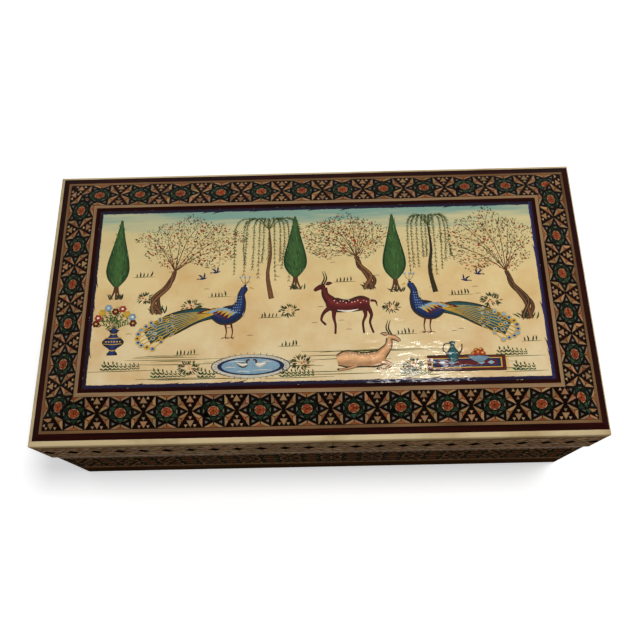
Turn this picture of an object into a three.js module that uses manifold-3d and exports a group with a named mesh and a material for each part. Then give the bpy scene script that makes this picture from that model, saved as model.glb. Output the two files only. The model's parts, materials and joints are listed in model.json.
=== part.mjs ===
// Inlaid cigarette box with a hinged lid, in millimetres, +Z up.
// The origin is on the table under the middle of the box; the front faces -Y and the hinges are at +Y.
// Every wall is a thin board dressed outside with star marquetry between mitred strips, and the lid's
// marquetry frame slopes up to a flat painted panel.
import * as THREE from 'three';
import { mergeVertices } from 'three/addons/utils/BufferGeometryUtils.js';
import Module from 'manifold-3d';

const wasm = await Module();
wasm.setup();

// Overall sizes
const boxLength = 165;
const boxDepth = 88;
const rimHeight = 51.8;
const lidSideHeight = 18.5;
const seamGap = 0.3;
const lidOverhang = 0.5;

// Boards of the carcass
const wallBoard = 5;
const bottomThickness = 4;
const bottomLedge = 2.5;
const lidBoardThickness = 7.3;
const dividerThickness = 3;
const dividerHeight = 24;

// Strips and veneers on the sides
const veneer = 1.6;
const plinthHeight = 8.2;
const baseLineHeight = 1.6;
const baseRimHeight = 2;
const lidLipHeight = 1.2;

// Pale edging round the lid: its width differs from side to side, as it was scraped back by hand
const edgingWidth = { front: 1.4, right: 0.6, back: 1.1, left: 1.3 };
const edgingDrop = 2.8;
const edgingRise = 0.8;

// Frame on top of the lid, from the edging inwards
const outerStringWidth = 1.9;
const outerLineWidth = 0.85;
const starBandWidth = 9;
const innerLineWidth = 1.1;
const innerStringWidth = 1.15;
const panelRise = 3.65;
const inlayThickness = 1.6;
const glueLine = 0.05;

// Stars in the marquetry bands. Their points are sunk a little, so that each star shows in the solid. The
// offset is from the middle of a side to the star next to it, going anticlockwise from above.
const starPitch = { front: 13.2, right: 12.7, back: 13.2, left: 12.7 };
const starOffset = { front: -4.1, right: 4.8, back: 3.3, left: -4.8 };
const starTipRadius = 5.1;
const starCoreRadius = 2.3;
const baseStarRows = 2;
const figureDepth = 0.2;
const mitreWall = 0.05;

// Lozenges in the fine band round the lid's sides
const lozengePitch = 7;
const lozengeLength = 3.4;
const lozengeHeight = 4.6;

// Brass butt hinges
const hingeLength = 20;
const hingeFromEnd = 22.5;
const leafThickness = 0.8;
const leafWidth = 4.5;
const barrelRadius = 1.5;
const pinRadius = 0.7;
const pinClearance = 0.05;
const knuckleGap = 0.2;
const barrelClearance = 0.25;
const mortiseClearance = 0.2;
const roundSides = 24;

// How far a cutter runs past the face that it opens
const overrun = 1;

// The back arrises are bevelled through the hinge axis, and their faces meet when the lid is fully open
const stopBevel = THREE.MathUtils.degToRad(52.5);

// Heights and outlines that follow from the sizes
const baseHeight = rimHeight - lidSideHeight - seamGap;
const lidBottom = rimHeight - lidSideHeight;
const rimBottom = baseHeight - baseRimHeight;
const bandBottom = plinthHeight + baseLineHeight;
const lipTop = lidBottom + lidLipHeight;
const edgingBottom = rimHeight - edgingDrop;
const fieldHeight = rimHeight + edgingRise;
const panelHeight = fieldHeight + panelRise;
const boardUnderside = panelHeight - inlayThickness - lidBoardThickness;

const lidOutline = rectangle(boxLength, boxDepth);
const lidBoards = inset(lidOutline, veneer);
const lidHollow = inset(lidBoards, wallBoard + lidOverhang);
const baseOutline = inset(lidOutline, lidOverhang);
const baseBoards = inset(baseOutline, veneer);
const baseHollow = inset(baseBoards, wallBoard);
const bottomOutline = inset(baseHollow, -bottomLedge);

const field = insetEach(lidOutline, edgingWidth);
const outerLineEnd = outerStringWidth + outerLineWidth;
const starBandEnd = outerLineEnd + starBandWidth;
const frameWidth = starBandEnd + innerLineWidth;
const frameSlope = panelRise / frameWidth;
const figureBorder = figureDepth + mitreWall;
const innerString = inset(field, frameWidth);
const panelOutline = inset(innerString, innerStringWidth);

// The hinge pin lies one barrel radius inside the back of the base, level with the seam
const hingeAxis = {
  y: baseOutline.back - barrelRadius - mortiseClearance / 2,
  z: (baseHeight + lidBottom) / 2,
};

// Finishes
const finishes = {
  carcassWood: new THREE.MeshStandardMaterial({ color: 0x8a5a34, roughness: 0.65, metalness: 0 }),
  khatam: new THREE.MeshStandardMaterial({ color: 0x4a3322, roughness: 0.35, metalness: 0 }),
  darkWood: new THREE.MeshStandardMaterial({ color: 0x2a1812, roughness: 0.4, metalness: 0 }),
  maroonWood: new THREE.MeshStandardMaterial({ color: 0x38100c, roughness: 0.35, metalness: 0 }),
  tanWood: new THREE.MeshStandardMaterial({ color: 0x9a7850, roughness: 0.4, metalness: 0 }),
  bone: new THREE.MeshStandardMaterial({ color: 0xcdb688, roughness: 0.4, metalness: 0 }),
  paintedPanel: new THREE.MeshStandardMaterial({ color: 0xd2b47c, roughness: 0.25, metalness: 0 }),
  brass: new THREE.MeshStandardMaterial({ color: 0xb08d4a, roughness: 0.35, metalness: 1 }),
};

const sides = ['front', 'right', 'back', 'left'];

function rectangle(length, depth) {
  return { left: -length / 2, right: length / 2, front: -depth / 2, back: depth / 2 };
}

// A rectangle drawn in by its own distance on each side.
function insetEach(rect, distance) {
  return {
    left: rect.left + distance.left,
    right: rect.right - distance.right,
    front: rect.front + distance.front,
    back: rect.back - distance.back,
  };
}

function inset(rect, distance) {
  return insetEach(rect, { front: distance, right: distance, back: distance, left: distance });
}

// Corners anticlockwise from above, starting at the front left, so that side i runs from corner i to i + 1.
function corners(rect) {
  return [
    [rect.left, rect.front],
    [rect.right, rect.front],
    [rect.right, rect.back],
    [rect.left, rect.back],
  ];
}

// A solid between two four-cornered faces: the lower points and the upper points, anticlockwise from above.
function wedgeBlock(lower, upper) {
  const geometry = new THREE.BufferGeometry();
  geometry.setAttribute('position', new THREE.Float32BufferAttribute([...lower, ...upper].flat(), 3));
  const index = [0, 2, 1, 0, 3, 2, 4, 5, 6, 4, 6, 7];
  for (let i = 0; i < 4; i += 1) {
    const next = (i + 1) % 4;
    index.push(i, next, next + 4, i, next + 4, i + 4);
  }
  geometry.setIndex(index);
  return geometry;
}

function atHeight(points, z) {
  return points.map(([x, y]) => [x, y, z]);
}

// A solid whose outline changes from one rectangle to the next on its way up.
function hippedBlock(low, lowHeight, high, highHeight) {
  return wedgeBlock(atHeight(corners(low), lowHeight), atHeight(corners(high), highHeight));
}

function block(rect, low, high) {
  return hippedBlock(rect, low, rect, high);
}

// The four corners of a face on one side that runs from an edge of one rectangle to an edge of another.
function mitredFace(side, outer, outerHeight, inner, innerHeight) {
  const i = sides.indexOf(side);
  const next = (i + 1) % 4;
  const outerCorners = corners(outer);
  const innerCorners = corners(inner);
  return [
    [...outerCorners[i], outerHeight],
    [...outerCorners[next], outerHeight],
    [...innerCorners[next], innerHeight],
    [...innerCorners[i], innerHeight],
  ];
}

// A strip along one side between two rectangles, mitred at both ends. Its outer and inner edges
// have their own heights, given as [low, high].
function mitredStrip(side, outer, inner, outerSpan, innerSpan = outerSpan) {
  const [lower, upper] = [0, 1].map((end) => mitredFace(side, outer, outerSpan[end], inner, innerSpan[end]));
  return wedgeBlock(lower, upper);
}

function toSolid(geometry) {
  const bare = geometry.clone();
  bare.deleteAttribute('normal');
  bare.deleteAttribute('uv');
  const merged = mergeVertices(bare);
  return new wasm.Manifold(new wasm.Mesh({
    numProp: 3,
    vertProperties: merged.getAttribute('position').array,
    triVerts: Uint32Array.from(merged.getIndex().array),
  }));
}

function toGeometry(solid) {
  const mesh = solid.getMesh();
  const geometry = new THREE.BufferGeometry();
  geometry.setAttribute('position', new THREE.Float32BufferAttribute(mesh.vertProperties, 3));
  geometry.setIndex(Array.from(mesh.triVerts));
  return geometry;
}

function joinSolids(geometries) {
  return geometries.map(toSolid).reduce((whole, next) => whole.add(next));
}

function join(geometries) {
  return toGeometry(joinSolids(geometries));
}

// Cutters are geometries, or solids where they come from an earlier cut.
function cut(geometry, cutters) {
  const solids = cutters.map((cutter) => (cutter.isBufferGeometry ? toSolid(cutter) : cutter));
  return toGeometry(solids.reduce((rest, cutter) => rest.subtract(cutter), toSolid(geometry)));
}

// The axes of a flat face: u along its first edge from the middle of the side, v across the face, and the
// third axis out of the wood.
function faceAxes(facePoints) {
  const [start, end, , farStart] = facePoints.map((point) => new THREE.Vector3(...point));
  const along = end.clone().sub(start).normalize();
  const outwards = along.clone().cross(farStart.clone().sub(start)).normalize();
  const across = outwards.clone().cross(along);
  const origin = start.clone().addScaledVector(along, -start.dot(along));
  return new THREE.Matrix4().makeBasis(along, across, outwards).setPosition(origin);
}

// A convex anticlockwise outline drawn in by one distance along all its edges.
function drawnIn(outline, distance) {
  return outline.map((corner, i) => {
    const before = corner.clone().sub(outline.at(i - 1)).normalize();
    const after = outline[(i + 1) % outline.length].clone().sub(corner).normalize();
    const inwards = after.clone().sub(before);
    return corner.clone().addScaledVector(inwards, distance / before.cross(after));
  });
}

function ringOfPoints(u, v, count, radiusAt) {
  return Array.from({ length: count }, (unused, i) => {
    const angle = (i / count) * 2 * Math.PI;
    return new THREE.Vector2(u + radiusAt(i) * Math.cos(angle), v + radiusAt(i) * Math.sin(angle));
  });
}

// A six-pointed star round a hexagonal core. The inner corners of the star lie on its inner hexagon.
function starFigure(u, v) {
  const star = new THREE.Shape(ringOfPoints(u, v, 12, (i) => (
    i % 2 ? starTipRadius / Math.sqrt(3) : starTipRadius
  )));
  const core = ringOfPoints(u, v, 12, () => starCoreRadius).filter((point, i) => i % 2);
  star.holes.push(new THREE.Path(core));
  return star;
}

function lozengeFigure(u, v) {
  return new THREE.Shape(ringOfPoints(u, v, 4, (i) => (i % 2 ? lozengeHeight : lozengeLength) / 2));
}

// Rows of figures sunk into a face, as one cutter. The figures stop at a border along the face's edges.
function figurePockets(facePoints, figure, pitch, offset, rows) {
  const axes = faceAxes(facePoints);
  const toFace = axes.clone().invert();
  const outline = facePoints.map((point) => {
    const local = new THREE.Vector3(...point).applyMatrix4(toFace);
    return new THREE.Vector2(local.x, local.y);
  });
  const depth = figureDepth + overrun;
  const pocket = (shape) => {
    const geometry = new THREE.ExtrudeGeometry(shape, { depth, bevelEnabled: false });
    return geometry.translate(0, 0, -figureDepth).applyMatrix4(axes);
  };
  const width = outline[3].y;
  const first = Math.ceil((outline[0].x - offset) / pitch);
  const last = Math.floor((outline[1].x - offset) / pitch);
  const pockets = [];
  for (let row = 0; row < rows; row += 1) {
    for (let place = first; place <= last; place += 1) {
      pockets.push(pocket(figure(offset + place * pitch, (width * (row + 0.5)) / rows)));
    }
  }
  const border = toSolid(pocket(new THREE.Shape(drawnIn(outline, figureBorder))));
  return joinSolids(pockets).intersect(border);
}

function starPockets(side, facePoints, rows) {
  return figurePockets(facePoints, starFigure, starPitch[side], starOffset[side], rows);
}

const box = new THREE.Group();

function addPiece(name, geometry, finish) {
  geometry.computeVertexNormals();
  const mesh = new THREE.Mesh(geometry, finishes[finish]);
  mesh.name = name;
  box.add(mesh);
  return mesh;
}

// A bar along X with the given outline in the YZ plane.
function barAlongX(outline, from, to) {
  const shape = new THREE.Shape(outline.map(([y, z]) => new THREE.Vector2(y, z)));
  const geometry = new THREE.ExtrudeGeometry(shape, { depth: to - from, bevelEnabled: false });
  geometry.applyMatrix4(new THREE.Matrix4().makeBasis(
    new THREE.Vector3(0, 1, 0),
    new THREE.Vector3(0, 0, 1),
    new THREE.Vector3(1, 0, 0),
  ));
  geometry.translate(from, 0, 0);
  return geometry;
}

// A round bar along X on the hinge axis. A cutter's flats are no nearer the axis than its radius.
function hingeRound(radius, from, to, isCutter = false) {
  const reach = isCutter ? radius / Math.cos(Math.PI / roundSides) : radius;
  const outline = [];
  for (let i = 0; i < roundSides; i += 1) {
    const angle = (i / roundSides) * 2 * Math.PI;
    outline.push([hingeAxis.y + reach * Math.cos(angle), hingeAxis.z + reach * Math.sin(angle)]);
  }
  return barAlongX(outline, from, to);
}

function rectangleOutline(y0, y1, z0, z1) {
  return [[y0, z0], [y1, z0], [y1, z1], [y0, z1]];
}

// Both hinges, each from its left end to its right end
const hingeEnds = [
  [lidOutline.left + hingeFromEnd, lidOutline.left + hingeFromEnd + hingeLength],
  [lidOutline.right - hingeFromEnd - hingeLength, lidOutline.right - hingeFromEnd],
];

// The bevel along a back arris: up into the lid (+1) or down into the base (-1).
function stopBevelCutter(direction) {
  const reach = lidOutline.back - hingeAxis.y + overrun;
  const start = hingeAxis.z - direction * seamGap;
  const outline = [
    [hingeAxis.y, start],
    [hingeAxis.y + reach, start],
    [hingeAxis.y + reach, hingeAxis.z + direction * reach * Math.tan(stopBevel)],
    [hingeAxis.y, hingeAxis.z],
  ];
  const inOrder = direction > 0 ? outline : outline.reverse();
  return barAlongX(inOrder, lidOutline.left - overrun, lidOutline.right + overrun);
}

// Room for the barrels, and the shallow mortises that the leaves are let into.
function barrelCutters() {
  return hingeEnds.map(([from, to]) => (
    hingeRound(barrelRadius + barrelClearance, from - mortiseClearance, to + mortiseClearance, true)
  ));
}

function leafMortises(low, high) {
  const front = hingeAxis.y - leafWidth - mortiseClearance;
  return hingeEnds.map(([from, to]) => barAlongX(
    rectangleOutline(front, hingeAxis.y, low, high),
    from - mortiseClearance,
    to + mortiseClearance,
  ));
}

// A leaf with its knuckles: the base's leaf has the two outer ones, and the lid's leaf the middle one.
function hingeLeaf([from, to], low, high, ownKnuckles) {
  const knuckleLength = (to - from - 2 * knuckleGap) / 3;
  const plateBack = hingeAxis.y - barrelRadius - barrelClearance;
  const plate = barAlongX(rectangleOutline(hingeAxis.y - leafWidth, plateBack, low, high), from, to);
  const knuckles = ownKnuckles.flatMap((i) => {
    const start = from + i * (knuckleLength + knuckleGap);
    const end = start + knuckleLength;
    return [
      hingeRound(barrelRadius, start, end),
      barAlongX(rectangleOutline(plateBack, hingeAxis.y, low, high), start, end),
    ];
  });
  const bore = hingeRound(pinRadius + pinClearance, from - overrun, to + overrun, true);
  return cut(join([plate, ...knuckles]), [bore]);
}

// Carcass of the base
function addBase() {
  const bottom = block(bottomOutline, 0, bottomThickness);
  const frontBack = { left: baseBoards.left, right: baseBoards.right };
  const boards = {
    front: { ...frontBack, front: baseBoards.front, back: baseHollow.front },
    back: { ...frontBack, front: baseHollow.back, back: baseBoards.back },
    left: { ...baseHollow, left: baseBoards.left, right: baseHollow.left },
    right: { ...baseHollow, left: baseHollow.right, right: baseBoards.right },
  };
  addPiece('bottom_board', bottom, 'carcassWood');
  sides.forEach((side) => {
    const board = cut(block(boards[side], 0, rimBottom), [bottom]);
    addPiece(`base_board_${side}`, board, 'carcassWood');
  });
  const divider = { ...baseHollow, left: -dividerThickness / 2, right: dividerThickness / 2 };
  addPiece('divider', block(divider, bottomThickness, bottomThickness + dividerHeight), 'carcassWood');
}

// Dressing of the base's sides: plinth, line, star band and rim
function addBaseDressing() {
  sides.forEach((side) => {
    const layer = (low, high) => mitredStrip(side, baseOutline, baseBoards, [low, high]);
    addPiece(`plinth_${side}`, layer(0, plinthHeight), 'darkWood');
    addPiece(`base_line_${side}`, layer(plinthHeight, bandBottom), 'tanWood');
    const bandFace = mitredFace(side, baseOutline, bandBottom, baseOutline, rimBottom);
    const stars = starPockets(side, bandFace, baseStarRows);
    addPiece(`base_khatam_${side}`, cut(layer(bandBottom, rimBottom), [stars]), 'khatam');
    const rim = mitredStrip(side, baseOutline, baseHollow, [rimBottom, baseHeight]);
    const cutters = [
      stopBevelCutter(-1),
      ...barrelCutters(),
      ...leafMortises(baseHeight - leafThickness, baseHeight + seamGap),
    ];
    addPiece(`base_rim_${side}`, side === 'front' ? rim : cut(rim, cutters), 'tanWood');
  });
}

// Carcass of the lid: four rails and a board planed to the slope of the frame
function addLidCarcass() {
  const frontBack = { left: lidBoards.left, right: lidBoards.right };
  const rails = {
    front: { ...frontBack, front: lidBoards.front, back: lidHollow.front },
    back: { ...frontBack, front: lidHollow.back, back: lidBoards.back },
    left: { ...lidHollow, left: lidBoards.left, right: lidHollow.left },
    right: { ...lidHollow, left: lidHollow.right, right: lidBoards.right },
  };
  sides.forEach((side) => {
    const rail = block(rails[side], lipTop, boardUnderside);
    addPiece(`lid_rail_${side}`, side === 'back' ? cut(rail, barrelCutters()) : rail, 'carcassWood');
  });
  const under = inlayThickness + glueLine;
  const board = join([
    block(lidBoards, boardUnderside, edgingBottom),
    block(field, edgingBottom, fieldHeight - under),
    hippedBlock(field, fieldHeight - under, innerString, panelHeight - under),
  ]);
  addPiece('lid_board', board, 'carcassWood');
}

// Dressing of the lid's sides: lip, fine band and pale edging
function addLidDressing() {
  sides.forEach((side) => {
    const lip = mitredStrip(side, lidOutline, lidHollow, [lidBottom, lipTop]);
    const band = mitredStrip(side, lidOutline, lidBoards, [lipTop, edgingBottom]);
    const backCutters = [stopBevelCutter(1), ...barrelCutters()];
    const lipCutters = [...backCutters, ...leafMortises(lidBottom - seamGap, lidBottom + leafThickness)];
    addPiece(`lid_lip_${side}`, side === 'front' ? lip : cut(lip, lipCutters), 'tanWood');
    const bandFace = mitredFace(side, lidOutline, lipTop, lidOutline, edgingBottom);
    const lozenges = figurePockets(bandFace, lozengeFigure, lozengePitch, 0, 1);
    addPiece(`lid_khatam_${side}`, cut(band, [...backCutters, lozenges]), 'khatam');
    const edging = mitredStrip(
      side,
      lidOutline,
      field,
      [edgingBottom, rimHeight],
      [edgingBottom, fieldHeight],
    );
    addPiece(`lid_edging_${side}`, edging, 'bone');
  });
}

function frameHeight(distance) {
  return fieldHeight + frameSlope * distance;
}

// One course of the sloping frame: the strip on one side between two distances from the edging.
function frameStrip(side, from, to) {
  const span = (distance) => [frameHeight(distance) - inlayThickness, frameHeight(distance)];
  return mitredStrip(side, inset(field, from), inset(field, to), span(from), span(to));
}

function frameRing(from, to) {
  return join(sides.map((side) => frameStrip(side, from, to)));
}

// Frame and panel on top of the lid
function addLidTop() {
  const bandEdges = [outerLineEnd, starBandEnd].flatMap((edge) => [inset(field, edge), frameHeight(edge)]);
  sides.forEach((side) => {
    addPiece(`outer_string_${side}`, frameStrip(side, 0, outerStringWidth), 'maroonWood');
    const stars = starPockets(side, mitredFace(side, ...bandEdges), 1);
    const band = frameStrip(side, outerLineEnd, starBandEnd);
    addPiece(`star_band_${side}`, cut(band, [stars]), 'khatam');
  });
  addPiece('outer_line', frameRing(outerStringWidth, outerLineEnd), 'tanWood');
  addPiece('inner_line', frameRing(starBandEnd, frameWidth), 'tanWood');
  const flat = [panelHeight - inlayThickness, panelHeight];
  const stringPieces = sides.map((side) => mitredStrip(side, innerString, panelOutline, flat));
  addPiece('inner_string', join(stringPieces), 'maroonWood');
  addPiece('painted_panel', block(panelOutline, ...flat), 'paintedPanel');
}

function addHinges() {
  ['left', 'right'].forEach((hand, i) => {
    const ends = hingeEnds[i];
    const baseLeaf = hingeLeaf(ends, baseHeight - leafThickness, baseHeight, [0, 2]);
    const lidLeaf = hingeLeaf(ends, lidBottom, lidBottom + leafThickness, [1]);
    addPiece(`hinge_base_leaf_${hand}`, baseLeaf, 'brass');
    addPiece(`hinge_lid_leaf_${hand}`, lidLeaf, 'brass');
    addPiece(`hinge_pin_${hand}`, hingeRound(pinRadius, ...ends), 'brass');
  });
}

addBase();
addBaseDressing();
addLidCarcass();
addLidDressing();
addLidTop();
addHinges();

export default box;
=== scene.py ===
"""Looks of an inlaid cigarette box: star marquetry, strips, edging, painted lid panel, hinges and studio.

Everything is in metres in the frame of the construction, +Z up, with the front of the box at -Y.
"""

import json
import math

import bmesh
import bpy
import numpy as np
from bpy.props import FloatProperty, FloatVectorProperty, IntProperty, PointerProperty
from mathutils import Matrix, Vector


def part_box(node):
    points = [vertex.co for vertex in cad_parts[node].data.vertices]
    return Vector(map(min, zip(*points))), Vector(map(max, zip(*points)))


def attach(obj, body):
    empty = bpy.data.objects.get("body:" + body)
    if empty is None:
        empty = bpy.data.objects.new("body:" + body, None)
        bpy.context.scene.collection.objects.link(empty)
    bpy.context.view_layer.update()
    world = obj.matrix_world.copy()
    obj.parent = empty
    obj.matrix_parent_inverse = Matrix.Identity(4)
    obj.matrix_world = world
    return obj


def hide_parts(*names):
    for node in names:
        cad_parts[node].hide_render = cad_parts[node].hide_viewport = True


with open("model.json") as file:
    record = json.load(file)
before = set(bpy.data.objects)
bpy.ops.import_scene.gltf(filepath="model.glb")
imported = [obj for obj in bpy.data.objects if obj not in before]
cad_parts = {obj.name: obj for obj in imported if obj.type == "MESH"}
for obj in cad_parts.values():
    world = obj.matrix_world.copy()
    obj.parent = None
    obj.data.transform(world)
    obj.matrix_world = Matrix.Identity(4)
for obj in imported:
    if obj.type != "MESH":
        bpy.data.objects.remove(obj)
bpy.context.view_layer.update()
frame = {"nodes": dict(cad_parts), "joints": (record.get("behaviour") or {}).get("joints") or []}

bl_info = {
    "name": "Inlaid cigarette box",
    "version": (1, 0, 0),
    "blender": (4, 5, 0),
    "location": "3D View > Sidebar > Box",
    "description": "Makes the marquetry, strips, painting and fittings of an inlaid cigarette box",
    "category": "Object",
}

MM = 0.001
SIDES = ("front", "right", "back", "left")


def shade(red, green, blue):
    """A colour given as it shows on a screen, from 0 to 255, turned into linear light."""
    share = np.array([red, green, blue]) / 255
    linear = np.where(share <= 0.04045, share / 12.92, ((share + 0.055) / 1.055) ** 2.4)
    return tuple(float(value) for value in linear)


def lit(tint, level):
    """A tint under more or less light."""
    return np.array(tint) * level


def millimetres(name, description, default):
    """A setting for a length, given in millimetres."""
    return FloatProperty(name=name, description=description, default=default * MM, unit="LENGTH")


def lengths(name, description, *defaults):
    """A length in millimetres for each of the four sides."""
    metres = tuple(value * MM for value in defaults)
    return FloatVectorProperty(name=name, description=description, default=metres, size=4, unit="LENGTH")


def number(name, description, default):
    """A setting for a plain number."""
    return FloatProperty(name=name, description=description, default=default)


def place(name, description, *default):
    """A setting for a place, in metres."""
    return FloatVectorProperty(
        name=name, description=description, default=default, subtype="TRANSLATION", unit="LENGTH"
    )


def colour(name, description, *screen):
    """A setting for a colour, given as it shows on a screen."""
    return FloatVectorProperty(
        name=name, description=description, default=shade(*screen), subtype="COLOR", size=3, min=0, max=1
    )


class InlaySettings(bpy.types.PropertyGroup):
    """Sizes and colours of the marquetry."""

    pitches: lengths("Pitches", "From star to star, front, right, back and left", 13.25, 12.8, 12.95, 12.7)
    starts: lengths("Starts", "From the middle of each side to the next star", -3.0, 4.7, 3.8, -4.8)
    tile_radius: millimetres("Tile radius", "From a star's middle to its points along the band", 6.3)
    core_radius: millimetres("Core radius", "From a star's middle to the tips of its flower", 1.85)
    ring_radius: millimetres("Ring radius", "From a star's middle to the outside of its dark ring", 2.2)
    glue: millimetres("Glue line", "How far each rod is drawn in from its outline", 0.06)
    relief: millimetres("Relief", "How far the rods stand above the glue between them", 0.02)
    slice: millimetres("Slice", "How thick the visible slice of each rod is", 0.06)
    base_rows: IntProperty(name="Rows on the base", description="Rows of stars round the base", default=2)
    top_border: millimetres("Top border", "Height of the toothed border above the stars of the base", 3.0)
    low_border: millimetres("Low border", "Height of the toothed border below the stars of the base", 1.6)
    lozenge_pitch: millimetres("Lozenge pitch", "From lozenge to lozenge round the lid's sides", 7.0)
    lozenge_start: millimetres("Lozenge start", "From the middle of each side to the next lozenge", -3.0)
    black: colour("Black", "Ebony rods", 20, 9, 5)
    tan: colour("Tan", "Light wood rods", 148, 114, 80)
    orange: colour("Orange", "Dyed orange rods", 144, 76, 40)
    red: colour("Red", "Dyed red rods", 150, 58, 36)
    green: colour("Green", "Dyed green bone", 32, 50, 35)
    deep_green: colour("Deep green", "Darker dyed bone", 18, 27, 20)
    sage: colour("Sage", "Faded green bone", 88, 96, 74)
    pale: colour("Pale", "Bone rods in the side bands", 178, 158, 133)
    grey: colour("Grey", "Metal rods in the star's points", 96, 98, 92)
    cream: colour("Cream", "Bone rods in the flower and the dark triangles", 160, 126, 94)
    ground: colour("Glue", "Dark glue between the rods", 14, 7, 4)
    dirt: colour("Dirt", "Old wax and dirt on the side bands", 74, 60, 46)
    spread: number("Spread", "How far rods of one wood differ", 0.17)
    seed: IntProperty(name="Seed", description="Picks the differences between the rods", default=11)


class StripSettings(bpy.types.PropertyGroup):
    """Sizes and colours of the edging, strings, lines, boards and hinges."""

    edging_rise: millimetres("Edging rise", "How far the edging's top slopes up to its inner edge", 0.8)
    ease: millimetres("Ease", "Rounding of an outside arris", 0.35)
    fine_ease: millimetres("Fine ease", "Rounding of an arris between two strips", 0.1)
    wander: millimetres("Wander", "How far a hand-laid strip strays", 0.021)
    bone: colour("Bone", "Edging round the lid", 219, 198, 154)
    # The stain's colour, at a third of its light, also gives the painted shade just above the edging's foot
    bone_stain: colour("Bone stain", "Worn and yellowed edging", 158, 128, 80)
    maroon: colour("Maroon", "Strings in the frame", 46, 12, 9)
    maroon_vein: colour("Maroon vein", "Darker veins of the strings", 22, 7, 5)
    tan: colour("Tan", "Line outside the marquetry", 130, 98, 66)
    tan_vein: colour("Tan vein", "Darker veins of the lines", 88, 62, 40)
    light_tan: colour("Light tan", "Line inside the marquetry, rim and lip", 156, 128, 96)
    dark: colour("Dark", "Plinth round the foot", 74, 50, 29)
    dark_vein: colour("Dark vein", "Darker veins of the plinth", 44, 27, 15)
    brown: colour("Brown", "Line above the plinth", 112, 78, 48)
    board: colour("Board", "Varnished boards inside", 150, 102, 62)
    board_vein: colour("Board vein", "Darker grain of the boards", 100, 62, 36)
    brass: colour("Brass", "Hinges and screws", 190, 156, 94)


class PaintSettings(bpy.types.PropertyGroup):
    """Colours and thickness of the painting on the lid."""

    sink: millimetres("Sink", "How far the ground lies below the frame's inner edge", 0.24)
    swell: millimetres("Swell", "How far the ground rises and falls", 0.03)
    ground: colour("Ground", "Cream ground", 230, 205, 149)
    # The near ground is paler with painted sheen, and the far ground darker with painted shade and greener
    near_ground: colour("Near ground", "Paler ground along the front", 230, 211, 170)
    far_ground: colour("Far ground", "Greener ground towards the back", 213, 199, 146)
    warm: colour("Warm ground", "Where the ground has yellowed", 212, 170, 108)
    sky: colour("Sky", "Wash along the back edge", 92, 152, 148)
    ink: colour("Ink", "Outlines and leaves", 52, 44, 26)
    olive: colour("Olive", "Grass and willow leaves", 76, 82, 38)
    teal: colour("Teal", "Blue-green glaze", 40, 92, 96)
    bark: colour("Bark", "Tree trunks", 104, 66, 40)
    leaf: colour("Leaf", "Cypress green", 62, 96, 48)
    deep_leaf: colour("Deep leaf", "Cypress outline", 26, 58, 32)
    blossom: colour("Blossom", "Red blossom", 164, 52, 34)
    maroon: colour("Maroon", "Dark red paint", 92, 30, 28)
    navy: colour("Navy", "Dark blue paint", 30, 44, 84)
    blue: colour("Blue", "Light blue paint", 134, 166, 184)
    violet: colour("Violet", "Border line beside the frame", 30, 20, 32)
    border: colour("Border blue", "Blue in the border line", 44, 40, 88)
    yellow: colour("Yellow", "Ochre paint", 202, 160, 58)
    peach: colour("Peach", "Peach paint", 206, 156, 110)
    white: colour("White", "Highlights", 232, 224, 204)
    seed: IntProperty(name="Seed", description="Picks the places of leaves and blossom", default=5)


class StageSettings(bpy.types.PropertyGroup):
    """Camera, lamps and floor."""

    lens: number("Lens", "Focal length on a 36 mm sensor, in mm", 38.711)
    camera_place: place("Camera place", "Where the camera stands", 0.00312, -0.08011, 0.24569)
    camera_turn: FloatVectorProperty(
        name="Camera turn", description="How the camera is turned", subtype="EULER",
        default=(math.radians(20.502), math.radians(0.967), math.radians(-1.016))
    )
    lamp_place: place("Lamp place", "Where the soft lamp hangs", 0.28, 0.02, 1.0)
    lamp_size: millimetres("Lamp size", "Width of the soft lamp", 260)
    lamp_power: number("Lamp power", "Power of the soft lamp", 6.4)
    strip_place: place("Strip lamp place", "Where the narrow, glinting lamp hangs", 0.16, 0.235, 1.0)
    strip_length: millimetres("Strip lamp length", "Length of the narrow lamp", 176)
    strip_width: millimetres("Strip lamp width", "Width of the narrow lamp", 22)
    strip_power: number("Strip lamp power", "Power of the narrow lamp", 0.22)
    sky_level: number("Sky level", "Plain light from all round", 0.25)
    floor: colour("Floor", "Pale floor", 234, 235, 237)
    bounce: colour("Bounce", "Dimmer colour in which the floor lights the box", 174, 163, 148)


# Geometry in numpy


def unit(vectors):
    """Vectors divided by their own lengths."""
    return vectors / np.linalg.norm(vectors, axis=-1, keepdims=True)


def pairs(first, second):
    """Two rows of numbers as an array of pairs."""
    return np.stack([first, second], axis=-1)


def corners(left, right, front, back):
    """A rectangle's corners in plan, anticlockwise from the front left, so that side i starts at corner i."""
    return np.array([[left, front], [right, front], [right, back], [left, back]])


def ring_nodes(ring):
    """The names of a ring's four nodes, in the order of the sides."""
    return [f"{ring}_{side}" for side in SIDES]


def plan(*nodes):
    """The rectangle in plan round some nodes."""
    low = np.array([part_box(node)[0] for node in nodes]).min(axis=0)
    high = np.array([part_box(node)[1] for node in nodes]).max(axis=0)
    return corners(low[0], high[0], low[1], high[1])


def ring_plan(ring):
    """The rectangle in plan round a ring's four nodes."""
    return plan(*ring_nodes(ring))


def ring_walls(ring):
    """A ring's outer and inner rectangles and its span of height, where its strips are equally thick."""
    low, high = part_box(f"{ring}_front")
    outer = ring_plan(ring)
    inwards = np.array([[1, 1], [-1, 1], [-1, -1], [1, -1]])
    return outer, outer + inwards * (high.y - outer[0, 1]), (low.z, high.z)


def width_of(outer, inner):
    """The width between a rectangle and one inside it, where it is even all round."""
    return inner[0, 1] - outer[0, 1]


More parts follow.
